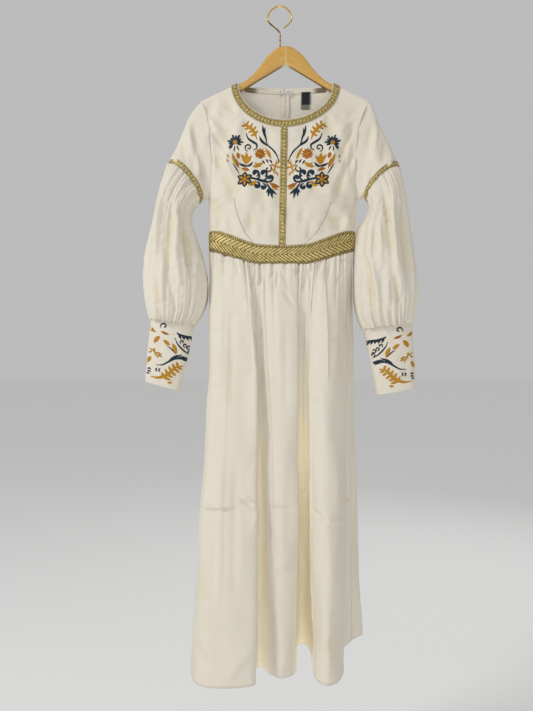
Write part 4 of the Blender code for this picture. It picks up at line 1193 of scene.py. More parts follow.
def sew_cap(side):
    """The short upper sleeve; it keeps the strip that its braid lies on."""
    turns = np.arange(2 * CAP_HALF_COLUMNS) * math.pi / CAP_HALF_COLUMNS
    loops = [armhole_loop(side, turns)]
    loops += [sleeve_loop(section, side, turns) for section in UPPER_SLEEVES[side]]
    grid = loft(loops, CAP_ROWS)
    around, fallen, _ = around_and_down(grid)
    row_share = np.linspace(0, 1, len(grid))[:, None]
    open_cloth = smooth(row_share, 0.0, 0.3) * (1.0 - smooth(row_share, 0.8, 0.96))
    seen = np.maximum(np.sin(turns), 0.0)[None, :]
    relief = open_cloth * (0.9 * ripples(around, fallen, 48.0, 41)
                           + 2.4 * seen * creases(grid[..., 0], grid[..., 2], CAP_CREASES[side])
                           + (1.0 - seen) * 1.1 * ripples(around, fallen, 30.0, 42))
    cloth(f"upper_sleeve_{side}", grid, relief, closed=True)
    sleeve_edges[side] = (loops[-2], loops[-1] - (loops[-1] - loops[-2]) * BRAID_SETBACK)


def sew_balloon(side):
    """The wide sleeve, gathered into the cap above and into the cuff below."""
    top = UPPER_SLEEVES[side][-1]
    drop = down_sleeve(top, side) * 2 * SEAM
    start = Section(top.outer_x + drop[0], top.outer_z + drop[2],
                    top.inner_x + drop[0], top.inner_z + drop[2], top.depth, top.bow)
    sections = (start, *BALLOONS[side])
    turns = np.arange(BALLOON_COLUMNS) * math.tau / BALLOON_COLUMNS
    grid = loft([sleeve_loop(section, side, turns, balloon_folds(turns, row, len(sections)))
                 for row, section in enumerate(sections)], BALLOON_ROWS)
    around, fallen, total = around_and_down(grid)
    length = fallen[-1, 0]
    seen = np.maximum(np.sin(turns), 0.0)[None, :]
    edge_calm = 0.35 + 0.65 * np.abs(np.sin(turns))[None, :]
    middle = smooth(fallen, 0.0, 60.0) * (1.0 - smooth(fallen, length - 60.0, length))
    relief = edge_calm * (gathers(around, fallen, total, SLEEVE_GATHERS, 51)
                          + 1.35 * gathers(around, length - fallen, total, CUFF_GATHERS, 52)
                          + middle * (2.4 * ripples(around, fallen * 0.2, 34.0, 53)
                                      + 0.8 * ripples(around, fallen, 20.0, 54)))
    relief += 3.0 * seen * middle * creases(grid[..., 0], grid[..., 2], BALLOON_CREASES[side])
    cloth(f"balloon_sleeve_{side}", grid, relief, closed=True)


def sew_cuff(side):
    """The flat double cuff with its turned edge."""
    turns = np.arange(CUFF_COLUMNS) * math.tau / CUFF_COLUMNS
    grid = loft([sleeve_loop(section, side, turns) for section in CUFFS[side]], CUFF_ROWS)
    around, fallen, _ = around_and_down(grid)
    length = fallen[-1, 0]
    ends = smooth(fallen, 0.0, 14.0) * (1.0 - smooth(fallen, length - 14.0, length))
    relief = ends * (0.6 * ripples(around, fallen, 40.0, 61)
                     + 0.25 * ripples(around, fallen, 14.0, 62))
    relief -= 0.6 * np.exp(-((fallen - (length - 9.0)) / 2.0) ** 2)
    cuff_cloths[side] = cloth(f"cuff_{side}", grid, relief, closed=True)


for side in ("left", "right"):
    sew_cap(side)
    sew_balloon(side)
    sew_cuff(side)

# %% [markdown]
# ## The braids
# A braid is a narrow woven band. Its weave is real relief here: the narrow one has a cord on each
# edge and a chain of plaited lozenges, and the waist braid has two rows of slanted threads that
# meet in a herringbone, a row of picots on top and a dense cord below. The height and the
# tone at a point follow from how far it is along the band and across it.

# %% Weaves of the braids
LOZENGE_PITCH = 8.0
CORD_PITCH = 3.2
HERRINGBONE_PITCH = 9.4  # mm, drawn about twice as coarse as real so that it shows
HERRINGBONE_SLANT = 1.4
PICOT_PITCH = 5.0
BRAID_BASE = 0.5  # the woven ground's height above the cloth


# In both weaves, tone is a mask of painted light: 0 gives the gaps their painted shade and 1 gives
# a thread its painted highlight.
def narrow_weave(a, b):
    """Height and tone at a mm along and at share b across a narrow braid."""
    edge = np.minimum(b, 1.0 - b)
    cord = np.clip(1.0 - (edge - 0.08) ** 2 / 0.08 ** 2, 0.0, 1.0) ** 0.5
    twist = 0.5 + 0.5 * np.sin(math.tau * (a / CORD_PITCH + b * 3.0))
    step = (a + LOZENGE_PITCH / 2) % LOZENGE_PITCH - LOZENGE_PITCH / 2
    skew = step + (b - 0.5) * 5.0
    lozenge = np.clip(1.0 - np.abs(skew) / 3.6 - np.abs(b - 0.5) / 0.42, 0.0, 1.0) ** 0.5
    inner = smooth(edge, 0.14, 0.2)
    strand = np.abs(np.sin(math.pi * (a / 3.0 - b * 5.0)))
    height = BRAID_BASE + 0.5 * cord + inner * np.maximum(0.4 * strand, 0.9 * lozenge)
    worn = 0.95 + 0.22 * ripples(a, 15.0 * b, 8.0, 71)
    tone = worn * (cord * (0.4 + 0.5 * twist) + inner * np.maximum(0.5 * strand, lozenge))
    return height, np.clip(tone, 0.0, 1.0)


def wide_weave(a, b):
    """Height and tone of the waist braid; b is 0 at its top edge."""
    upper = smooth(b, 0.1, 0.13) * (1.0 - smooth(b, 0.47, 0.49))
    lower = smooth(b, 0.49, 0.51) * (1.0 - smooth(b, 0.87, 0.9))
    slant = np.abs(b - 0.49) * SASH_WIDTH * HERRINGBONE_SLANT
    turn = (a - slant) / HERRINGBONE_PITCH
    thread = np.abs(np.sin(math.pi * turn))
    strand = np.abs(np.sin(math.pi * turn * 3.0))
    picot = (1.0 - smooth(b, 0.07, 0.11)) * (0.5 + 0.5 * np.cos(math.tau * a / PICOT_PITCH))
    dense = smooth(b, 0.9, 0.92) * (0.5 + 0.5 * np.sin(math.tau * a / CORD_PITCH))
    rows = upper + lower
    height = BRAID_BASE + rows * 1.3 * thread ** 0.8 + 0.5 * picot + 0.6 * dense
    worn = 0.92 + 0.16 * ripples(a, 42.0 * b, 14.0, 72)
    tone = worn * (rows * thread ** 1.6 * (0.75 + 0.45 * strand) + 0.8 * picot + 0.6 * dense)
    return height, np.clip(tone, 0.0, 1.0)


print(f"a lozenge stands {narrow_weave(np.zeros(1), np.full(1, 0.5))[0][0]:.1f} mm high")

# %% A braid on a strip of cloth
def braid(node, base, weave, closed=False, lift=0.0, picots=0.0):
    """A band on a strip of cloth: rows go across the band and columns along it."""
    middle = base[len(base) // 2]
    lengths = travelled(np.concatenate([middle, middle[:1]]) if closed else middle)
    if closed:  # a whole number of lozenges goes round
        total = lengths[-1]
        lengths = lengths[:-1] * (round(total / LOZENGE_PITCH) * LOZENGE_PITCH / total)
    share = np.linspace(0.0, 1.0, len(base))[:, None]
    height, tone = weave(lengths[None, :] + 0 * share, share + 0 * lengths[None, :])
    shaped = moved_out(base, height + lift + SEAM, closed)
    if picots:
        rise = picots * (0.5 + 0.5 * np.cos(math.tau * lengths / PICOT_PITCH))
        up = directions(base, 0)[0]
        shaped[0] -= up / np.linalg.norm(up, axis=-1, keepdims=True) * rise[:, None]
    piece = make_mesh("braid_" + node, shaped, grid_faces(*shaped.shape[:2], closed), gilt,
                      tone=tone)
    thicken(piece, 0.5)
    finish_piece(piece, node)


def neck_line(angles, drop, turn_start, on_panel, mirror, offsets):
    """Rows of points beside the neck line, at offsets from it, for angles round the neck."""
    edge = neck_edge(angles, drop)
    turned = smooth(angles, turn_start, math.pi / 2)[:, None]
    shoulder = np.array([1.0, -SHOULDER_SLOPE]) / math.hypot(1.0, SHOULDER_SLOPE)
    away = (1.0 - turned) * shoulder + turned * np.array([0.0, -1.0])
    away /= np.linalg.norm(away, axis=-1, keepdims=True)
    rows = []
    for offset in offsets:
        x, z = (edge + away * offset).T
        rows.append(on_panel(mirror * x, z))
    return np.array(rows)


print("threads stand", BRAID_BASE, "mm and more above the cloth")

# %% Neck and front braids
offsets = NECK_MARGIN + np.linspace(0.0, BRAID_WIDTH, 15)
front_turns = np.radians(np.concatenate([np.linspace(0, 12, 40), np.linspace(12.4, 90, 190)]))
back_turns = np.radians(np.linspace(4, 87, 120))
neck = np.concatenate([
    neck_line(back_turns[::-1], BACK_NECK_DROP, math.radians(18), plain_back, -1.0, offsets),
    neck_line(front_turns, FRONT_NECK_DROP, 0.0, plain_front, -1.0, offsets),
    neck_line(front_turns[-2::-1], FRONT_NECK_DROP, 0.0, plain_front, 1.0, offsets),
    neck_line(back_turns, BACK_NECK_DROP, math.radians(18), plain_back, 1.0, offsets)], axis=1)
braid("neck_braid", neck, narrow_weave, lift=0.5)

top = NECK_TOP - FRONT_NECK_DROP - NECK_MARGIN - BRAID_WIDTH - 1.0
waist_z = WAIST_SIDE_Z - FRONT_WAIST_DROP
bottom = waist_z + (NECK_TOP - FRONT_NECK_DROP - waist_z) * (1.0 - SASH_SHARE) + 0.5
down_front = np.linspace(top, bottom, 300)[None, :]
over_front = np.linspace(BRAID_WIDTH / 2, -BRAID_WIDTH / 2, 15)[:, None]
braid("front_braid", front_face(over_front + 0 * down_front, down_front + 0 * over_front),
      narrow_weave)

# %% Waist and sleeve braids
down_sash = np.linspace(SASH_SHARE, 1.0, 29)
front_half = panel_places(np.linspace(0.0, 1.0, 260), down_sash, FRONT_NECK_DROP, FRONT_WAIST_DROP,
                          FRONT_NECK_ANGLES)
back_half = panel_places(np.linspace(0.0, 0.998, 260), down_sash, BACK_NECK_DROP, BACK_WAIST_DROP,
                         BACK_NECK_ANGLES)
sash = np.concatenate([
    plain_back(-back_half[:, ::-1, 0], back_half[:, ::-1, 1])[:, :-1],
    plain_front(-front_half[..., 0], front_half[..., 1]),
    plain_front(front_half[:, -2::-1, 0], front_half[:, -2::-1, 1]),
    plain_back(back_half[..., 0], back_half[..., 1])[:, 1:]], axis=1)
braid("waist_braid", sash, wide_weave, picots=1.6)

for side in ("left", "right"):
    upper, lower = sleeve_edges[side]
    share = np.linspace(0.0, 1.0, 15)[:, None, None]
    fine = np.linspace(0, len(upper), 330, endpoint=False)
    strip = (1 - share) * spline(upper, fine, True) + share * spline(lower, fine, True)
    braid(f"sleeve_braid_{side}", strip, narrow_weave, closed=True)

# %% [markdown]
# ## Embroidery
# Satin stitch lays strands side by side across a shape, so the shape stands up softly and has
# fine lines across it. Every motif here is made of strokes: a centre line with a width that
# swells and tapers. Leaves, petals, stems and curls differ only in their line and their width.
# The left half is written as mm outwards from the middle and mm below the neck braid, and the
# right half is its mirror image.

# %% Stroke helpers
STROKE_STEP = 1.3
STRAND_PITCH = 2.0  # mm; real strands are 0.5 mm, drawn coarser so that they show
FLOSS_HEIGHT = 0.75


class Threadwork:
    """Collects strokes of one colour and makes them one mesh."""

    def __init__(self):
        self.points, self.faces, self.tones = [], [], []

    def stroke(self, line, width, on_cloth, tip=0.15, tail=0.15, lift=0.0):
        """A raised stroke along a line of (out, down) places; tip and tail are end widths."""
        line = np.asarray(line, float)
        fine = spline(line, np.linspace(0, len(line) - 1, 8 * len(line)))
        length = np.linalg.norm(np.diff(fine, axis=0), axis=1).sum()
        count = max(4, round(length / STROKE_STEP) + 1)
        share = np.linspace(0.0, 1.0, count)
        spine = by_length(fine, share)
        ahead = np.gradient(spine, axis=0)
        beside = np.stack([-ahead[:, 1], ahead[:, 0]], axis=-1)
        beside /= np.linalg.norm(beside, axis=-1, keepdims=True) + 1e-9
        swell = np.sin(math.pi * share) ** 0.7
        ends = tip + (tail - tip) * (1 - share)
        half = width / 2 * np.maximum(swell, ends)
        first = len(self.points)
        reach = np.array([-1.0, -0.6, 0.0, 0.6, 1.0])
        rise = np.array([-0.15, 0.75, 1.0, 0.75, -0.15]) * FLOSS_HEIGHT
        flat = spine[:, None] + beside[:, None] * (half[:, None] * reach)[..., None]
        solid = on_cloth(flat[..., 0], flat[..., 1], rise[None, :] + lift)
        self.points.extend(solid.reshape(-1, 3))
        # tone paints shade between strands and a highlight along the middle of the stroke
        strand = 0.5 + 0.5 * np.sin(math.tau * share * length / STRAND_PITCH)
        tone = (0.25 + 0.5 * strand)[:, None] + 0.25 * (1 - np.abs(reach))[None, :]
        self.tones.extend(tone.ravel())
        for row in range(count - 1):
            for column in range(4):
                a = first + row * 5 + column
                self.faces.append((a, a + 1, a + 6, a + 5))


def curl(centre_at, radius, turns, start, sense=1.0):
    """A spiral line that ends at its middle."""
    angle = np.linspace(0.0, turns * math.tau, 14)
    reach = radius * (1.0 - 0.82 * angle / angle[-1])
    angle = start + sense * angle
    return [(centre_at[0] + r * math.cos(a), centre_at[1] + r * math.sin(a))
            for a, r in zip(angle, reach)]


def spoke(centre_at, angle, near, far):
    """A short straight line from near to far of a centre."""
    return [(centre_at[0] + r * math.cos(angle), centre_at[1] + r * math.sin(angle))
            for r in (near, (near + far) / 2, far)]


def pen(works, on_cloth, spread=1.0, moved=(0.0, 0.0)):
    """A function that draws a stroke in one colour, its line spread and moved, on some cloth."""
    def draw(tint, line, width, **ends):
        line = [(moved[0] + spread * out, below + moved[1]) for out, below in line]
        works[tint].stroke(line, width, on_cloth, **ends)
    return draw


print("a curl of 9 mm has", len(curl((0, 0), 9.0, 1.15, 1.4)), "points")

# %% Leaves and flowers of the front


def leaves_and_flowers(draw):
    """The upper motifs of half the front, by mm out from the middle and mm down."""
    # a fern-like leaf at the top
    draw("ochre", [(60, 28), (64, 17), (73, 4), (92, -10)], 7.6, tail=0.35)
    for base, tips in (((65, 17), ((58, 8), (74, 20))), ((70, 9), ((62, -1), (80, 12))),
                       ((77, 2), ((69, -9), (88, 4))), ((84, -4), ((79, -15), (96, -2)))):
        for tip in tips:
            middle = ((base[0] + tip[0]) / 2, (base[1] + tip[1]) / 2)
            draw("ochre", [base, middle, tip], 5.6, tail=0.6)
    # twin leaves on a long stem beside the middle
    draw("navy", [(48, -4), (46, 8), (42, 20), (38, 29)], 6.6)
    draw("navy", [(42, 1), (43, 13), (40, 29)], 4.4)
    draw("navy", [(54, 21), (50, 31), (41, 38), (33, 44)], 6.4)
    draw("navy", [(40, 26), (36, 40), (24, 52), (15, 65), (10, 80)], 4.0, tip=0.5, tail=0.9)
    # a cornflower with a golden heart
    heart = (108, 34)
    for number in range(10):
        angle = math.radians(-205 + number * 27)
        far = 18 if number % 2 else 14.5
        draw("navy", spoke(heart, angle, 3.0, far), 6.0, tip=0.85)
    for turn in (0.2, 1.3, 2.4):
        draw("ochre", spoke(heart, turn, -6.0, 6.0), 6.4, lift=0.3)
    for angle in (52, 84, 116):
        draw("navy", spoke(heart, math.radians(angle), 8, 20), 3.6, tip=0.6)
    # an S-shaped stem and a curl
    draw("navy", [(84, 14), (79, 26), (68, 34), (60, 40), (61, 49), (67, 51)], 5.6, tip=0.5,
         tail=0.5)
    draw("navy", curl((78, 46), 9.0, 1.15, 1.4, -1.0), 4.0, tip=0.9, tail=0.5)
    # a rust thistle with a golden middle
    for angle in range(150, 400, 31):
        draw("rust", spoke((52, 61), math.radians(angle), 1.5, 12.5), 6.2, tip=0.4)
    draw("rust", [(45, 62), (52, 64), (59, 65)], 9.0)
    draw("ochre", [(46, 62), (53, 60), (60, 58)], 5.0, lift=0.3)
    draw("rust", [(44, 66), (50, 70), (57, 69)], 4.4)
    # a leaf, its bud and loose leaves near the middle
    draw("ochre", [(41, 47), (35, 57), (28, 72)], 7.6, tip=0.3)
    draw("ochre", [(39, 59), (43, 63), (45, 68)], 4.4)
    draw("ochre", [(68, 90), (57, 87), (45, 80)], 9.0)
    draw("ochre", [(64, 80), (58, 85), (50, 90)], 5.0)
    draw("rust", [(93, 91), (84, 94), (75, 99)], 8.0)
    draw("rust", [(86, 88), (83, 92), (80, 95)], 4.0)
    # a half open bud on dark sepals
    for tip in ((95, 61), (83, 57), (70, 65)):
        draw("ochre", [(82, 83), ((82 + tip[0]) / 2 - 1, 70), tip], 9.4)
    for line in ([(99, 80), (91, 84), (80, 87)], [(68, 79), (74, 86), (84, 87)]):
        draw("navy", line, 6.4)
    draw("rust", [(102, 56), (101, 63), (99, 70)], 9.0)
    # long buds at the outer edge
    draw("ochre", [(114, 58), (109, 73), (103, 88)], 7.4, tip=0.3)
    draw("rust", [(105, 70), (102, 80), (99, 92)], 5.6)
    draw("navy", [(113, 80), (105, 92), (97, 105)], 3.4, tip=0.5)
    draw("ochre", [(125, 60), (122, 69)], 4.6)
    draw("ochre", [(126, 72), (122, 79)], 4.2)


# %% Star flower and branch of the front


def star_and_branch(draw):
    """The lower motifs of half the front."""
    # drops and a curl beside the middle
    for out, below in ((44, 79), (36, 77), (28, 78)):
        draw("navy", [(out + 4, below - 4), (out, below), (out - 2, below + 5)], 4.2)
    draw("navy", curl((34, 95), 9.0, 1.0, -1.8, -1.0), 3.8, tip=1.0, tail=0.5)
    draw("ochre", [(15, 74), (18, 88), (22, 106)], 4.2, tip=0.5)
    for line in ([(17, 84), (12, 80), (9, 74)], [(18, 91), (12, 90), (8, 93)],
                 [(18, 90), (25, 86), (29, 89)], [(20, 99), (26, 97), (30, 102)],
                 [(20, 100), (15, 104), (12, 109)]):
        draw("ochre", line, 4.6, tip=0.7)
    # a star flower
    star = (85, 118)
    for number in range(6):
        angle = math.radians(30 + 60 * number)
        draw("navy", spoke(star, angle, 1.0, 18.0), 13.5)
        draw("ochre", spoke(star, angle, 4.0, 14.0), 6.4, lift=0.35)
    draw("ochre", spoke(star, 0.4, -4.6, 4.6), 9.0, lift=0.7)
    draw("rust", spoke(star, 2.0, -2.6, 2.6), 5.0, lift=1.0)
    # the scroll branch
    draw("navy", [(72, 115), (58, 118), (46, 122), (30, 124), (24, 120)], 7.0, tip=0.6, tail=0.8)
    for line in ([(60, 118), (53, 113), (54, 103)], [(44, 121), (37, 116), (36, 106)]):
        draw("navy", line, 5.0, tip=0.8)
    for middle, radius, start, sense in (((62, 104), 8.5, 1.9, 1.0), ((44, 104), 8.5, 1.9, 1.0),
                                         ((29, 115), 7.0, 1.6, 1.0), ((58, 132), 7.5, -1.4, -1.0),
                                         ((44, 135), 7.0, -1.4, -1.0)):
        draw("navy", curl(middle, radius, 0.9, start, sense), 6.2, tip=1.3, tail=0.5)
        draw("navy", spoke(middle, start + 2.6, -3.0, 3.5), 7.5)
    draw("navy", [(38, 124), (33, 133), (28, 141), (22, 152)], 5.0, tip=0.5)
    for tip in ((38, 148), (32, 157), (23, 161), (14, 152)):
        draw("navy", [(29, 137), ((29 + tip[0]) / 2 + 1, 145), tip], 5.8)
    draw("ochre", [(77, 131), (68, 129), (60, 121)], 9.4)
    draw("rust", [(30, 127), (20, 132), (8, 135)], 9.4)
    draw("ochre", [(25, 135), (17, 139), (10, 140)], 5.4)


# %% Stitch the front
NECK_BRAID_FOOT = NECK_TOP - FRONT_NECK_DROP - NECK_MARGIN - BRAID_WIDTH
works = {tint: Threadwork() for tint in FLOSS}
for mirror in (-1.0, 1.0):
    draw = pen(works, lambda out, below, rise, mirror=mirror: front_face(
        mirror * out, NECK_BRAID_FOOT - below, rise))
    leaves_and_flowers(draw)
    star_and_branch(draw)
print("points stitched on the front:", sum(len(work.points) for work in works.values()))

# %% [markdown]
# ## Embroidery on the cuffs
# A cuff is flat enough for its motifs to be laid out as on paper: mm from its outer
# edge, and mm down from its top. The two numbers are looked up on the cuff's own grid.

# %% A place on a cuff


def on_cuff(side):
    """A function that puts a place on the front of a cuff, raised off its cloth."""
    grid = cuff_cloths[side]
    out = normals(grid, closed=True)
    front = CUFF_COLUMNS // 2 + 1
    grid, out = grid[:, :front], out[:, :front]
    if side == "right":
        grid, out = grid[:, ::-1], out[:, ::-1]
    steps = np.linalg.norm(np.diff(grid[:, :, [0, 2]], axis=1), axis=-1).mean(axis=0)
    falls = np.linalg.norm(np.diff(grid, axis=0), axis=-1).mean(axis=1)
    across, fallen = np.insert(np.cumsum(steps), 0, 0.0), np.insert(np.cumsum(falls), 0, 0.0)

    def place(inwards, below, rise):
        column = np.interp(inwards, across, np.arange(len(across)))
        row = np.interp(below, fallen, np.arange(len(fallen)))
        c = np.minimum(column.astype(int), len(across) - 2)
        r = np.minimum(row.astype(int), len(fallen) - 2)
        u, v = (column - c)[..., None], (row - r)[..., None]

        def read(table):
            return ((1 - v) * ((1 - u) * table[r, c] + u * table[r, c + 1])
                    + v * ((1 - u) * table[r + 1, c] + u * table[r + 1, c + 1]))
        return read(grid) + read(out) * np.broadcast_to(rise, inwards.shape)[..., None]
    return place


print("cuff grids:", [grid.shape[:2] for grid in cuff_cloths.values()])

# %% Motifs of the cuffs
CUFF_SPREAD, CUFF_INSET, CUFF_LOWERED = 1.05, 1.2, 3.8


def cuff_motifs(draw):
    """The motifs of one cuff, by mm from its outer edge and mm down."""
    # a curl, buds and leaves near the top
    draw("navy", curl((30, 9), 8.0, 0.85, 2.6), 4.0, tip=0.9, tail=0.5)
    draw("ochre", [(1, 22), (7, 22), (15, 25)], 6.4)
    draw("rust", [(3, 16), (7, 19), (9, 24)], 4.4)
    draw("rust", [(25, 21), (33, 24), (42, 26)], 6.4)
    draw("ochre", [(14, 50), (17, 42), (24, 33)], 11.0)
    draw("ochre", [(32, 40), (39, 44), (47, 49)], 9.0)
    draw("ochre", [(52, 44), (58, 54), (63, 65)], 10.0)
    draw("navy", [(41, 51), (52, 57), (62, 65)], 3.2, tip=0.6)
    # a feathered leaf and a scrolled stem at the inner edge
    draw("navy", [(57, 20), (74, 25), (96, 23)], 6.6, tail=0.6)
    for out in (64, 71, 78, 85, 91):
        draw("navy", [(out - 4, 23), (out, 27), (out + 3, 32)], 5.0)
    draw("navy", [(55, 31), (62, 43), (76, 55), (91, 63)], 4.0, tail=0.5)
    for middle, radius, start in (((70, 37), 4.6, 2.0), ((77, 43), 4.6, 1.0), ((84, 46), 5.4, 0.4),
                                  ((88, 55), 4.8, 1.6)):
        draw("navy", curl(middle, radius, 0.95, start), 3.2, tip=1.2, tail=0.6)
    # a golden twig at the outer edge
    draw("ochre", [(4, 64), (15, 68), (20, 75), (26, 82)], 4.4, tip=0.6, tail=0.5)
    for line in ([(15, 60), (16, 65), (18, 70)], [(18, 72), (25, 71), (33, 73)],
                 [(21, 77), (28, 76), (34, 78)], [(10, 67), (8, 72), (4, 73)]):
        draw("ochre", line, 4.8, tip=0.7)
    draw("ochre", [(2, 97), (5, 90), (10, 82)], 10.5)
    # a navy branch across the middle
    draw("navy", [(23, 98), (37, 95), (50, 85), (65, 75), (90, 73)], 4.8, tip=0.7, tail=0.4)
    draw("navy", [(50, 82), (60, 73), (74, 65)], 6.4, tip=0.5)
    draw("navy", [(64, 76), (76, 70), (90, 71)], 5.6, tip=0.5)
    draw("navy", [(74, 74), (82, 75), (89, 77)], 4.2)
    # a fern near the bottom
    draw("ochre", [(12, 127), (32, 125), (51, 114), (66, 95), (80, 88)], 8.0, tip=0.4, tail=0.2)
    for base, tips in (((40, 121), ((39, 111), (61, 124))), ((50, 114), ((45, 102), (64, 117))),
                       ((58, 106), ((51, 95), (70, 112))), ((64, 98), ((58, 88), (76, 104))),
                       ((70, 93), ((66, 82), (80, 96)))):
        for tip in tips:
            draw("ochre", [base, ((base[0] + tip[0]) / 2 + 1, (base[1] + tip[1]) / 2), tip], 7.0,
                 tail=0.5)
    draw("ochre", [(54, 130), (59, 130), (65, 128)], 5.6)
    # small scattered marks
    for line in ([(3, 112), (8, 109), (13, 112)], [(4, 117), (9, 115), (13, 118)],
                 [(3, 123), (6, 120), (10, 123)], [(27, 104), (24, 109), (28, 113)],
                 [(34, 103), (31, 108), (35, 112)]):
        draw("navy", line, 4.4)


for side in ("left", "right"):
    cuff_motifs(pen(works, on_cuff(side), CUFF_SPREAD, (CUFF_INSET, CUFF_LOWERED)))

for tint, work in works.items():
    piece = make_mesh(f"embroidery_{tint}", work.points, work.faces, FLOSS[tint], tone=work.tones)
    finish_piece(piece, None)
    print(f"{tint} floss: {len(work.faces)} faces")

# %% [markdown]
# ## The wooden hanger
# Each arm is sawn from a board and glued to the other in the middle on a mitre, so the grain runs
# along each arm and a fine line shows where they meet. The edges are rounded off, and handling
# has worn the lacquer pale at the notch.

# %% Hanger arms
HANGER_X = 12.5
HANGER_HALF_THICK = 7.0
HANGER_ARM = ((0.0, -88.5, -130.5), (10.0, -90.0, -136.5), (22.0, -95.5, -143.6),
              (40.0, -111.0, -154.5), (58.0, -135.0, -165.0), (74.0, -153.5, -174.5),
              (92.0, -168.0, -185.0), (114.0, -177.7, -196.5), (150.0, -195.0, -212.0),
              (176.0, -207.5, -222.5), (182.0, -212.0, -222.0))
GRAIN_PITCH = 1.6  # mm between growth lines
GRAIN_LENGTH = 45.0  # mm a line keeps its shade


def superellipse(turn, power):
    """A rounded rectangle: the smaller the power, the squarer it is."""
    return (np.sign(np.cos(turn)) * np.abs(np.cos(turn)) ** power,
            np.sign(np.sin(turn)) * np.abs(np.sin(turn)) ** power)


turn = np.arange(40) * math.tau / 40
points, faces, grain, worn, under = [], [], [], [], []
for sign in (1.0, -1.0):
    arm = np.array(HANGER_ARM)
    fine = spline(arm, np.linspace(0, len(arm) - 1, (len(arm) - 1) * 8 + 1))
    fine[:, 0] = np.maximum(fine[:, 0], 0.12)
    first = len(points)
    for number, (x, high, low) in enumerate(fine):
        last = len(fine) - 1 - number
        thick = HANGER_HALF_THICK * (1.0 - 0.3 * math.exp(-last / 2.0))
        power = float(np.interp(x, (0.0, 78.0, 100.0), (0.6, 0.6, 0.95)))
        wide, tall = superellipse(turn, power)
        z = (high + low) / 2 + (high - low) / 2 * tall
        points.extend(np.stack([HANGER_X + sign * x + 0 * z, thick * wide, z], axis=-1))
        lay = math.hypot(x, high - arm[0, 1])
        grain.extend(np.stack([lay / GRAIN_LENGTH + 7 * sign + 0 * z, (z - high) / GRAIN_PITCH / 3,
                               thick * wide / GRAIN_PITCH / 3], axis=-1))
        notch = math.exp(-x / 14.0) * np.exp(-np.abs(z - low) / 2.2)
        joint = 0.7 * math.exp(-x / 0.9) * (wide < 0)
        worn.extend(np.clip(notch + joint, 0.0, 1.0))
        # painted shade along the underside of each arm, away from the middle
        under.extend(0.75 * smooth(-tall, 0.88, 0.99) * smooth(x, 3.0, 14.0))
    rings = grid_faces(len(fine), len(turn), closed=True)
    beyond = len(points) - first
    caps = [range(len(turn))[::-1], range(beyond - len(turn), beyond)]
    for face in rings + caps:  # the left arm is a mirror image, so its faces are turned over
        face = [first + corner for corner in face]
        faces.append(face if sign > 0 else face[::-1])
hanger = make_mesh("hanger_beech", points, faces, beech, grain=np.array(grain), worn=worn,
                   under=under)
finish_piece(hanger, "hanger_wood")
print("hanger arms:", 2)

# %% [markdown]
# ## The wire hook
# One brass wire is bent into a loop with soft corners and pushed into the wood. The sweep keeps a
# round section square to the route, and a painted dark reflection, mottled, grows towards the stem.

# %% Hook
WIRE = 1.8
HOOK_BENDS = ((9.0, -48.0), (23.0, -34.5), (27.2, -24.0), (19.5, -8.0), (9.0, 0.0), (0.0, WIRE),
              (-9.0, 0.0), (-19.5, -8.0), (-27.8, -23.0), (-24.5, -35.0), (-3.5, -54.0),
              (0.0, -62.0), (0.0, -76.0), (0.0, -89.95))


def tube(route, radius, sides):
    """Rings of points round a route in a plane square to Y, for one radius or many."""
    route = np.asarray(route, float)
    ahead = np.gradient(route, axis=0)
    ahead /= np.linalg.norm(ahead, axis=-1, keepdims=True)
    flat = np.array([0.0, 1.0, 0.0])
    beside = np.cross(ahead, flat)
    turn = np.arange(sides) * math.tau / sides
    radius = np.reshape(radius, (-1, 1, 1))
    return route[:, None] + radius * (np.cos(turn)[None, :, None] * beside[:, None]
                                      + np.sin(turn)[None, :, None] * flat)


def capped_faces(rings, sides):
    """Faces of a tube with both ends closed."""
    faces = grid_faces(rings, sides, closed=True)
    last = (rings - 1) * sides
    return faces + [list(range(sides))[::-1], list(range(last, last + sides))]


HOOK_RINGS, HOOK_SIDES = 157, 14
progress = np.linspace(0, len(HOOK_BENDS) - 1, HOOK_RINGS)
route = spline([(x, 0.0, z) for x, z in HOOK_BENDS], progress)
# painted dark reflection, mottled, from the lower left of the loop down the stem
tarnish = 0.85 * smooth(progress, 8.3, 9.2) * (0.75 + 0.25 * np.sin(progress * 9.0))
hook = make_mesh("hook_brass", tube(route, WIRE, HOOK_SIDES),
                 capped_faces(HOOK_RINGS, HOOK_SIDES), brass,
                 tarnish=np.repeat(tarnish, HOOK_SIDES))
finish_piece(hook, "hanger_hook")
print(f"hook wire: {travelled(route)[-1]:.0f} mm")

# %% [markdown]
# ## Hem stitches
# A stitch is a short lens of thread lying on the cloth. A row of them marks each hem. Eight
# triangles a stitch are enough for something half a millimetre thick.

# %% Stitches


def stitch_row(route, out, length, gap, radius):
    """Points and faces of stitches along a route: eight-sided lenses drawn out along it."""
    total = travelled(route)[-1]
    count = int(total / (length + gap))
    starts = (np.arange(count) + 0.2) / count
    ends = starts + length / total
    tail, head = by_length(route, starts), by_length(route, np.minimum(ends, 1.0))
    up = by_length(out, starts)
    up /= np.linalg.norm(up, axis=-1, keepdims=True)
    ahead = (head - tail) / (np.linalg.norm(head - tail, axis=-1, keepdims=True) + 1e-9)
    beside = np.cross(ahead, up)
    middle = (tail + head) / 2
    corners = np.stack([tail, head, middle + up * radius, middle + beside * radius,
                        middle - up * radius, middle - beside * radius], axis=1)
    pattern = np.array([(0, 3, 2), (0, 4, 3), (0, 5, 4), (0, 2, 5),
                        (1, 2, 3), (1, 3, 4), (1, 4, 5), (1, 5, 2)])
    faces = (pattern[None] + 6 * np.arange(count)[:, None, None]).reshape(-1, 3)
    return corners.reshape(-1, 3), faces


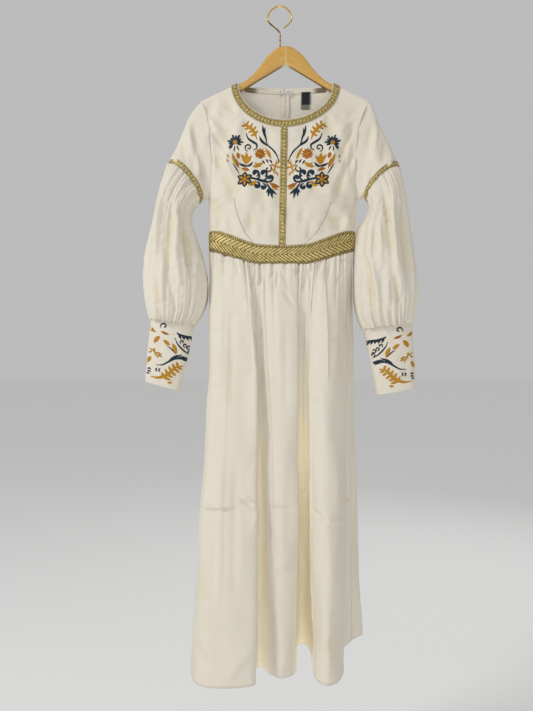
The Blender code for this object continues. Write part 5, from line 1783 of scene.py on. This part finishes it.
def stitches(name, rows, material, length=3.0, gap=1.4, radius=0.4):
    """One piece of stitches along several routes, each with its outward directions."""
    points, faces, first = [], [], 0
    for route, out in rows:
        more_points, more_faces = stitch_row(route, out, length, gap, radius)
        points.append(more_points)
        faces.extend((more_faces + first).tolist())
        first += len(more_points)
    piece = make_mesh(name, np.concatenate(points), faces, material)
    finish_piece(piece, None)
    print(f"{name}: {len(faces) // 8} stitches")


hems = []
for grid in skirt_cloths.values():
    heights = np.abs(grid[:, 0, 2] - (grid[-1, 0, 2] + HEM_DEPTH))
    row = int(np.argmin(heights))
    hems.append((grid[row], normals(grid)[row]))
stitches("hem_stitches", hems, hem_thread)
bands = []
for side, grid in cuff_cloths.items():
    row = len(grid) - 3
    bands.append((np.concatenate([grid[row], grid[row, :1]]),
                  np.concatenate([normals(grid, True)[row], normals(grid, True)[row, :1]])))
stitches("cuff_stitches", bands, hem_thread)

# %% [markdown]
# ## Seam cords and dart threads
# Where two panels are sewn together, their edges turn inwards and fill the seam, so a thin
# round cord of the same cotton closes each armhole and the top of each cuff. A dart shows as
# a line of thread sunk into the cloth: in front it is brown, a painted shade of the fold that
# lies under it, and at the side it is nearly cream.

# %% Seam cords
SEAM_RADIUS, CUFF_SEAM_RADIUS = 1.1, 1.3
SEAM_SIDES, DART_POINTS = 6, 60
cords = []
for sign in (-1.0, 1.0):
    x, z = armhole_edge(np.linspace(0.004, 0.996, 120)).T
    for bust, facing in ((BUST_RISE, -1.0), (0.0, 1.0)):
        y = facing * (depth(x, z, bust) + SEAM / 2 - SEAM_RADIUS * 0.9)
        route = np.stack([sign * (x + SEAM) + centre(z), y, z], axis=-1)
        cords.append((tube(route, SEAM_RADIUS, SEAM_SIDES), capped_faces(120, SEAM_SIDES)))
for grid in cuff_cloths.values():
    out, down = normals(grid, closed=True)[0], grid[1] - grid[0]
    down = down / np.linalg.norm(down, axis=-1, keepdims=True)
    turn = np.arange(SEAM_SIDES)[None, :, None] * math.tau / SEAM_SIDES
    rings = (grid[0] - 0.5 * down + 0.2 * out)[:, None] + CUFF_SEAM_RADIUS * (
        np.cos(turn) * out[:, None] + np.sin(turn) * down[:, None])
    rings = np.concatenate([rings, rings[:1]])
    cords.append((rings, grid_faces(len(rings), SEAM_SIDES, closed=True)))
points, faces = joined(cords)
piece = make_mesh("sleeve_seams", points, faces, cotton, hollow=np.zeros(len(points)))
finish_piece(piece, None)
print("sleeve seams:", len(cords))

# %% Dart threads
DART_RADIUS, DART_SUNK = 0.7, 0.1


def dart_route(table):
    """Points along a dart, given as straight pieces that join, just under the cloth's face."""
    ends = np.array([table[0][:2]] + [dart[2:4] for dart in table], float)
    fine = by_length(spline(ends, np.linspace(0, len(ends) - 1, DART_POINTS)),
                     np.linspace(0, 1, DART_POINTS))
    return front_face(fine[:, 0] - centre(fine[:, 1]), fine[:, 1], -DART_SUNK)


for name, tables, thread in (("dart_seams", (BUST_DARTS[:3], BUST_DARTS[3:]), dart_shade_thread),
                             ("side_dart_seams", (SIDE_DARTS[:1], SIDE_DARTS[1:]), hem_thread)):
    points, faces = joined([(tube(dart_route(table), DART_RADIUS, SEAM_SIDES),
                             capped_faces(DART_POINTS, SEAM_SIDES)) for table in tables])
    finish_piece(make_mesh(name, points, faces, thread), None)
    print(f"{name}: {len(tables)}")

# %% [markdown]
# ## Inside the back of the neck
# A bound edge finishes the neck on the inside, so a narrow strip of facing follows the neck
# line on each side, darker where the hanger's arms and the shoulders shade it. The label and
# its size tab are bare woven satin with paler edges, slightly domed because they are held
# at the top only.

# %% Facing strips
FACING_TOP, FACING_DEPTH = 2.6, 13.0
INSIDE_CLEAR = 0.25


def inner_back(x, z, gap):
    """Points just inside the back's cloth; x is measured from the middle line."""
    y = depth(x, z, 0.0) + SEAM / 2 + back_relief(x, z) - CLOTH - gap
    return np.stack([x + centre(z), y, z], axis=-1)


for side, sign in (("right", 1.0), ("left", -1.0)):
    edge = neck_edge(np.radians(np.linspace(30.0, 85.5, 60))[::int(sign)], BACK_NECK_DROP)
    fall = np.linspace(FACING_TOP, FACING_DEPTH, 7)[:, None]
    x = sign * edge[None, :, 0] + 0 * fall
    z = edge[None, :, 1] - fall
    bulge = 0.5 * np.sin(math.pi * (fall - FACING_TOP) / (FACING_DEPTH - FACING_TOP)) + 0 * x
    strip = inner_back(x, z, INSIDE_CLEAR + bulge)[:, ::-1]
    # painted shadow of the hanger's arms and the shoulders on the outer ends of each strip
    in_shade = smooth(np.abs(strip[..., 0] - centre(strip[..., 2])), 58.0, 74.0)
    piece = make_mesh(f"neck_facing_{side}", strip, grid_faces(7, 60), facing_cotton,
                      hollow=in_shade)
    thicken(piece, -0.3)
    finish_piece(piece, None)

# %% Label and size tab
LABEL_LEFT, LABEL_RIGHT, LABEL_TOP, LABEL_BOTTOM = 48.0, 69.5, -187.0, -213.5
TAB_RIGHT, TAB_BOTTOM = 67.0, -223.5
LABEL_GAP = 2.5
LABEL_COLUMNS = 17


def patch(node, right, top, bottom, material, rows):
    """A woven label: a thin slightly domed sheet with paler edges."""
    share_x = np.linspace(0.0, 1.0, LABEL_COLUMNS)[None, :]
    share_z = np.linspace(0.0, 1.0, rows)[:, None]
    x = right + (LABEL_LEFT - right) * share_x + 0 * share_z
    z = top + (bottom - top) * share_z + 0 * share_x
    dome = 0.25 * np.sin(math.pi * share_x) * np.sin(math.pi * np.clip(share_z, 0.02, 0.98))
    y = depth(x - centre(z), z, 0.0) - LABEL_GAP - dome
    edge = np.minimum(share_x, 1.0 - share_x) + 0 * share_z
    piece = make_mesh("satin_" + node, np.stack([x, y, z], axis=-1),
                      grid_faces(rows, LABEL_COLUMNS), material,
                      tone=(1.0 - smooth(edge, 0.04, 0.1)) * 0.8)
    thicken(piece, 0.4)
    finish_piece(piece, node)
    print(f"{node}: {right - LABEL_LEFT:.1f} x {top - bottom:.1f} mm")


patch("neck_label", LABEL_RIGHT, LABEL_TOP, LABEL_BOTTOM, black_satin, 25)
patch("size_tab", TAB_RIGHT, LABEL_BOTTOM - SEAM, TAB_BOTTOM, grey_satin, 11)

# %% [markdown]
# ## The zip
# The teeth of such a zip are a coil of polyester that shows as two rows of small loops. They
# follow the tapes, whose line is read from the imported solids' own corners, so they can't drift
# away from them. The slider, its tab and the tapes keep their solids and take a material.

# %% Zip
ZIP_TOP, ZIP_BOTTOM = -182.0, -735.0


def inner_line(node):
    """Heights of a node's corners and the y of its inner face at each."""
    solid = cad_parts[node]
    corners = np.array([solid.matrix_world @ vertex.co for vertex in solid.data.vertices]) / MM
    heights = np.unique(np.round(corners[:, 2], 1))
    inner = [corners[np.abs(corners[:, 2] - height) < 0.2, 1].min() for height in heights]
    return heights, np.array(inner)


tape_heights, tape_inner = inner_line("zip_tape_left")
z = np.linspace(ZIP_BOTTOM + 2.0, ZIP_TOP - 2.0, 600)
y = np.interp(z, tape_heights, tape_inner) - 0.3
rows = []
for sign in (-1.0, 1.0):
    route = np.stack([centre(z) + sign * 0.8, y, z], axis=-1)
    rows.append((route, np.broadcast_to((0.0, -1.0, 0.0), route.shape)))
stitches("zip_teeth", rows, white_thread, length=1.5, gap=1.0, radius=0.6)
for node, material in (("zip_slider", nickel), ("zip_pull", nickel),
                       ("zip_tape_left", facing_cotton), ("zip_tape_right", facing_cotton)):
    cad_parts[node].material_slots[0].material = material

# %% [markdown]
# ## Hook and eye
# Above the zip, a hook and an eye of wire are wound with thread and sewn down in small thick
# knots. Each is a tube along its bends: the hook is one loop open at the middle, the eye is
# a closed ring, and their radius swells with each turn of the thread.

# %% Wound wire and knots
FASTENING_DROP = 5.0
THREAD_TURN = 2.4  # mm of wire to a turn of thread
WIRE_RINGS, WIRE_SIDES = 120, 8
KNOT_RINGS, KNOT_SIDES = 15, 6
KNOTS = (  # mm right of the middle, mm above the hook, radius
    (-14.0, 0.5, 2.4), (-10.5, -5.2, 2.2), (-15.0, -5.0, 1.8), (-6.0, 3.0, 1.8),
    (12.0, 0.8, 2.4), (15.5, -2.2, 1.8), (9.0, -5.4, 2.2), (4.0, 3.6, 1.7), (13.5, -6.0, 1.6))


def wound_wire(node, bends, closed=False):
    """A wire wound with thread: a tube that swells and narrows with each turn of the thread."""
    y = np.interp(ZIP_TOP, tape_heights, tape_inner) - 1.7
    steps = np.linspace(0, len(bends) - (0 if closed else 1), WIRE_RINGS)
    x, z = spline(np.array(bends, float), steps, closed).T
    route = np.stack([x, np.full_like(x, y), z], axis=-1)
    radius = 0.9 + 0.45 * np.abs(np.sin(math.pi * travelled(route) / THREAD_TURN))
    piece = make_mesh("wound_" + node, tube(route, radius, WIRE_SIDES),
                      capped_faces(WIRE_RINGS, WIRE_SIDES), white_thread)
    finish_piece(piece, node)
    print(f"{node}: {travelled(route)[-1]:.0f} mm of wire")


z = ZIP_TOP - FASTENING_DROP
x = float(centre(z))
turn = np.linspace(0.0, math.tau, 17)[:-1]
wound_wire("neck_hook", [(x - 1.0, z), (x - 8.0, z + 1.2)]
           + [(x - 11.0 + 3.0 * math.cos(a), z + 3.2 * math.sin(a)) for a in turn[2:15]]
           + [(x - 8.0, z - 1.2), (x - 2.5, z - 1.7)])
wound_wire("neck_eye", [(x + 5.5 + 4.0 * math.cos(a), z + 3.4 * math.sin(a))
                        for a in turn[:-1] + 0.6])
knots = []
for out, rise, size in KNOTS:
    a = np.linspace(0.3, math.tau, KNOT_RINGS)
    y = np.interp(z, tape_heights, tape_inner) - 1.2 - 0.4 * np.cos(np.arange(KNOT_RINGS))
    ring = np.stack([x + out + size * np.cos(a), y, z + rise + 0.8 * size * np.sin(a)], axis=-1)
    knots.append((tube(ring, 0.75, KNOT_SIDES), capped_faces(KNOT_RINGS, KNOT_SIDES)))
finish_piece(make_mesh("thread_knots", *joined(knots), white_thread), None)
print("thread knots:", len(KNOTS))
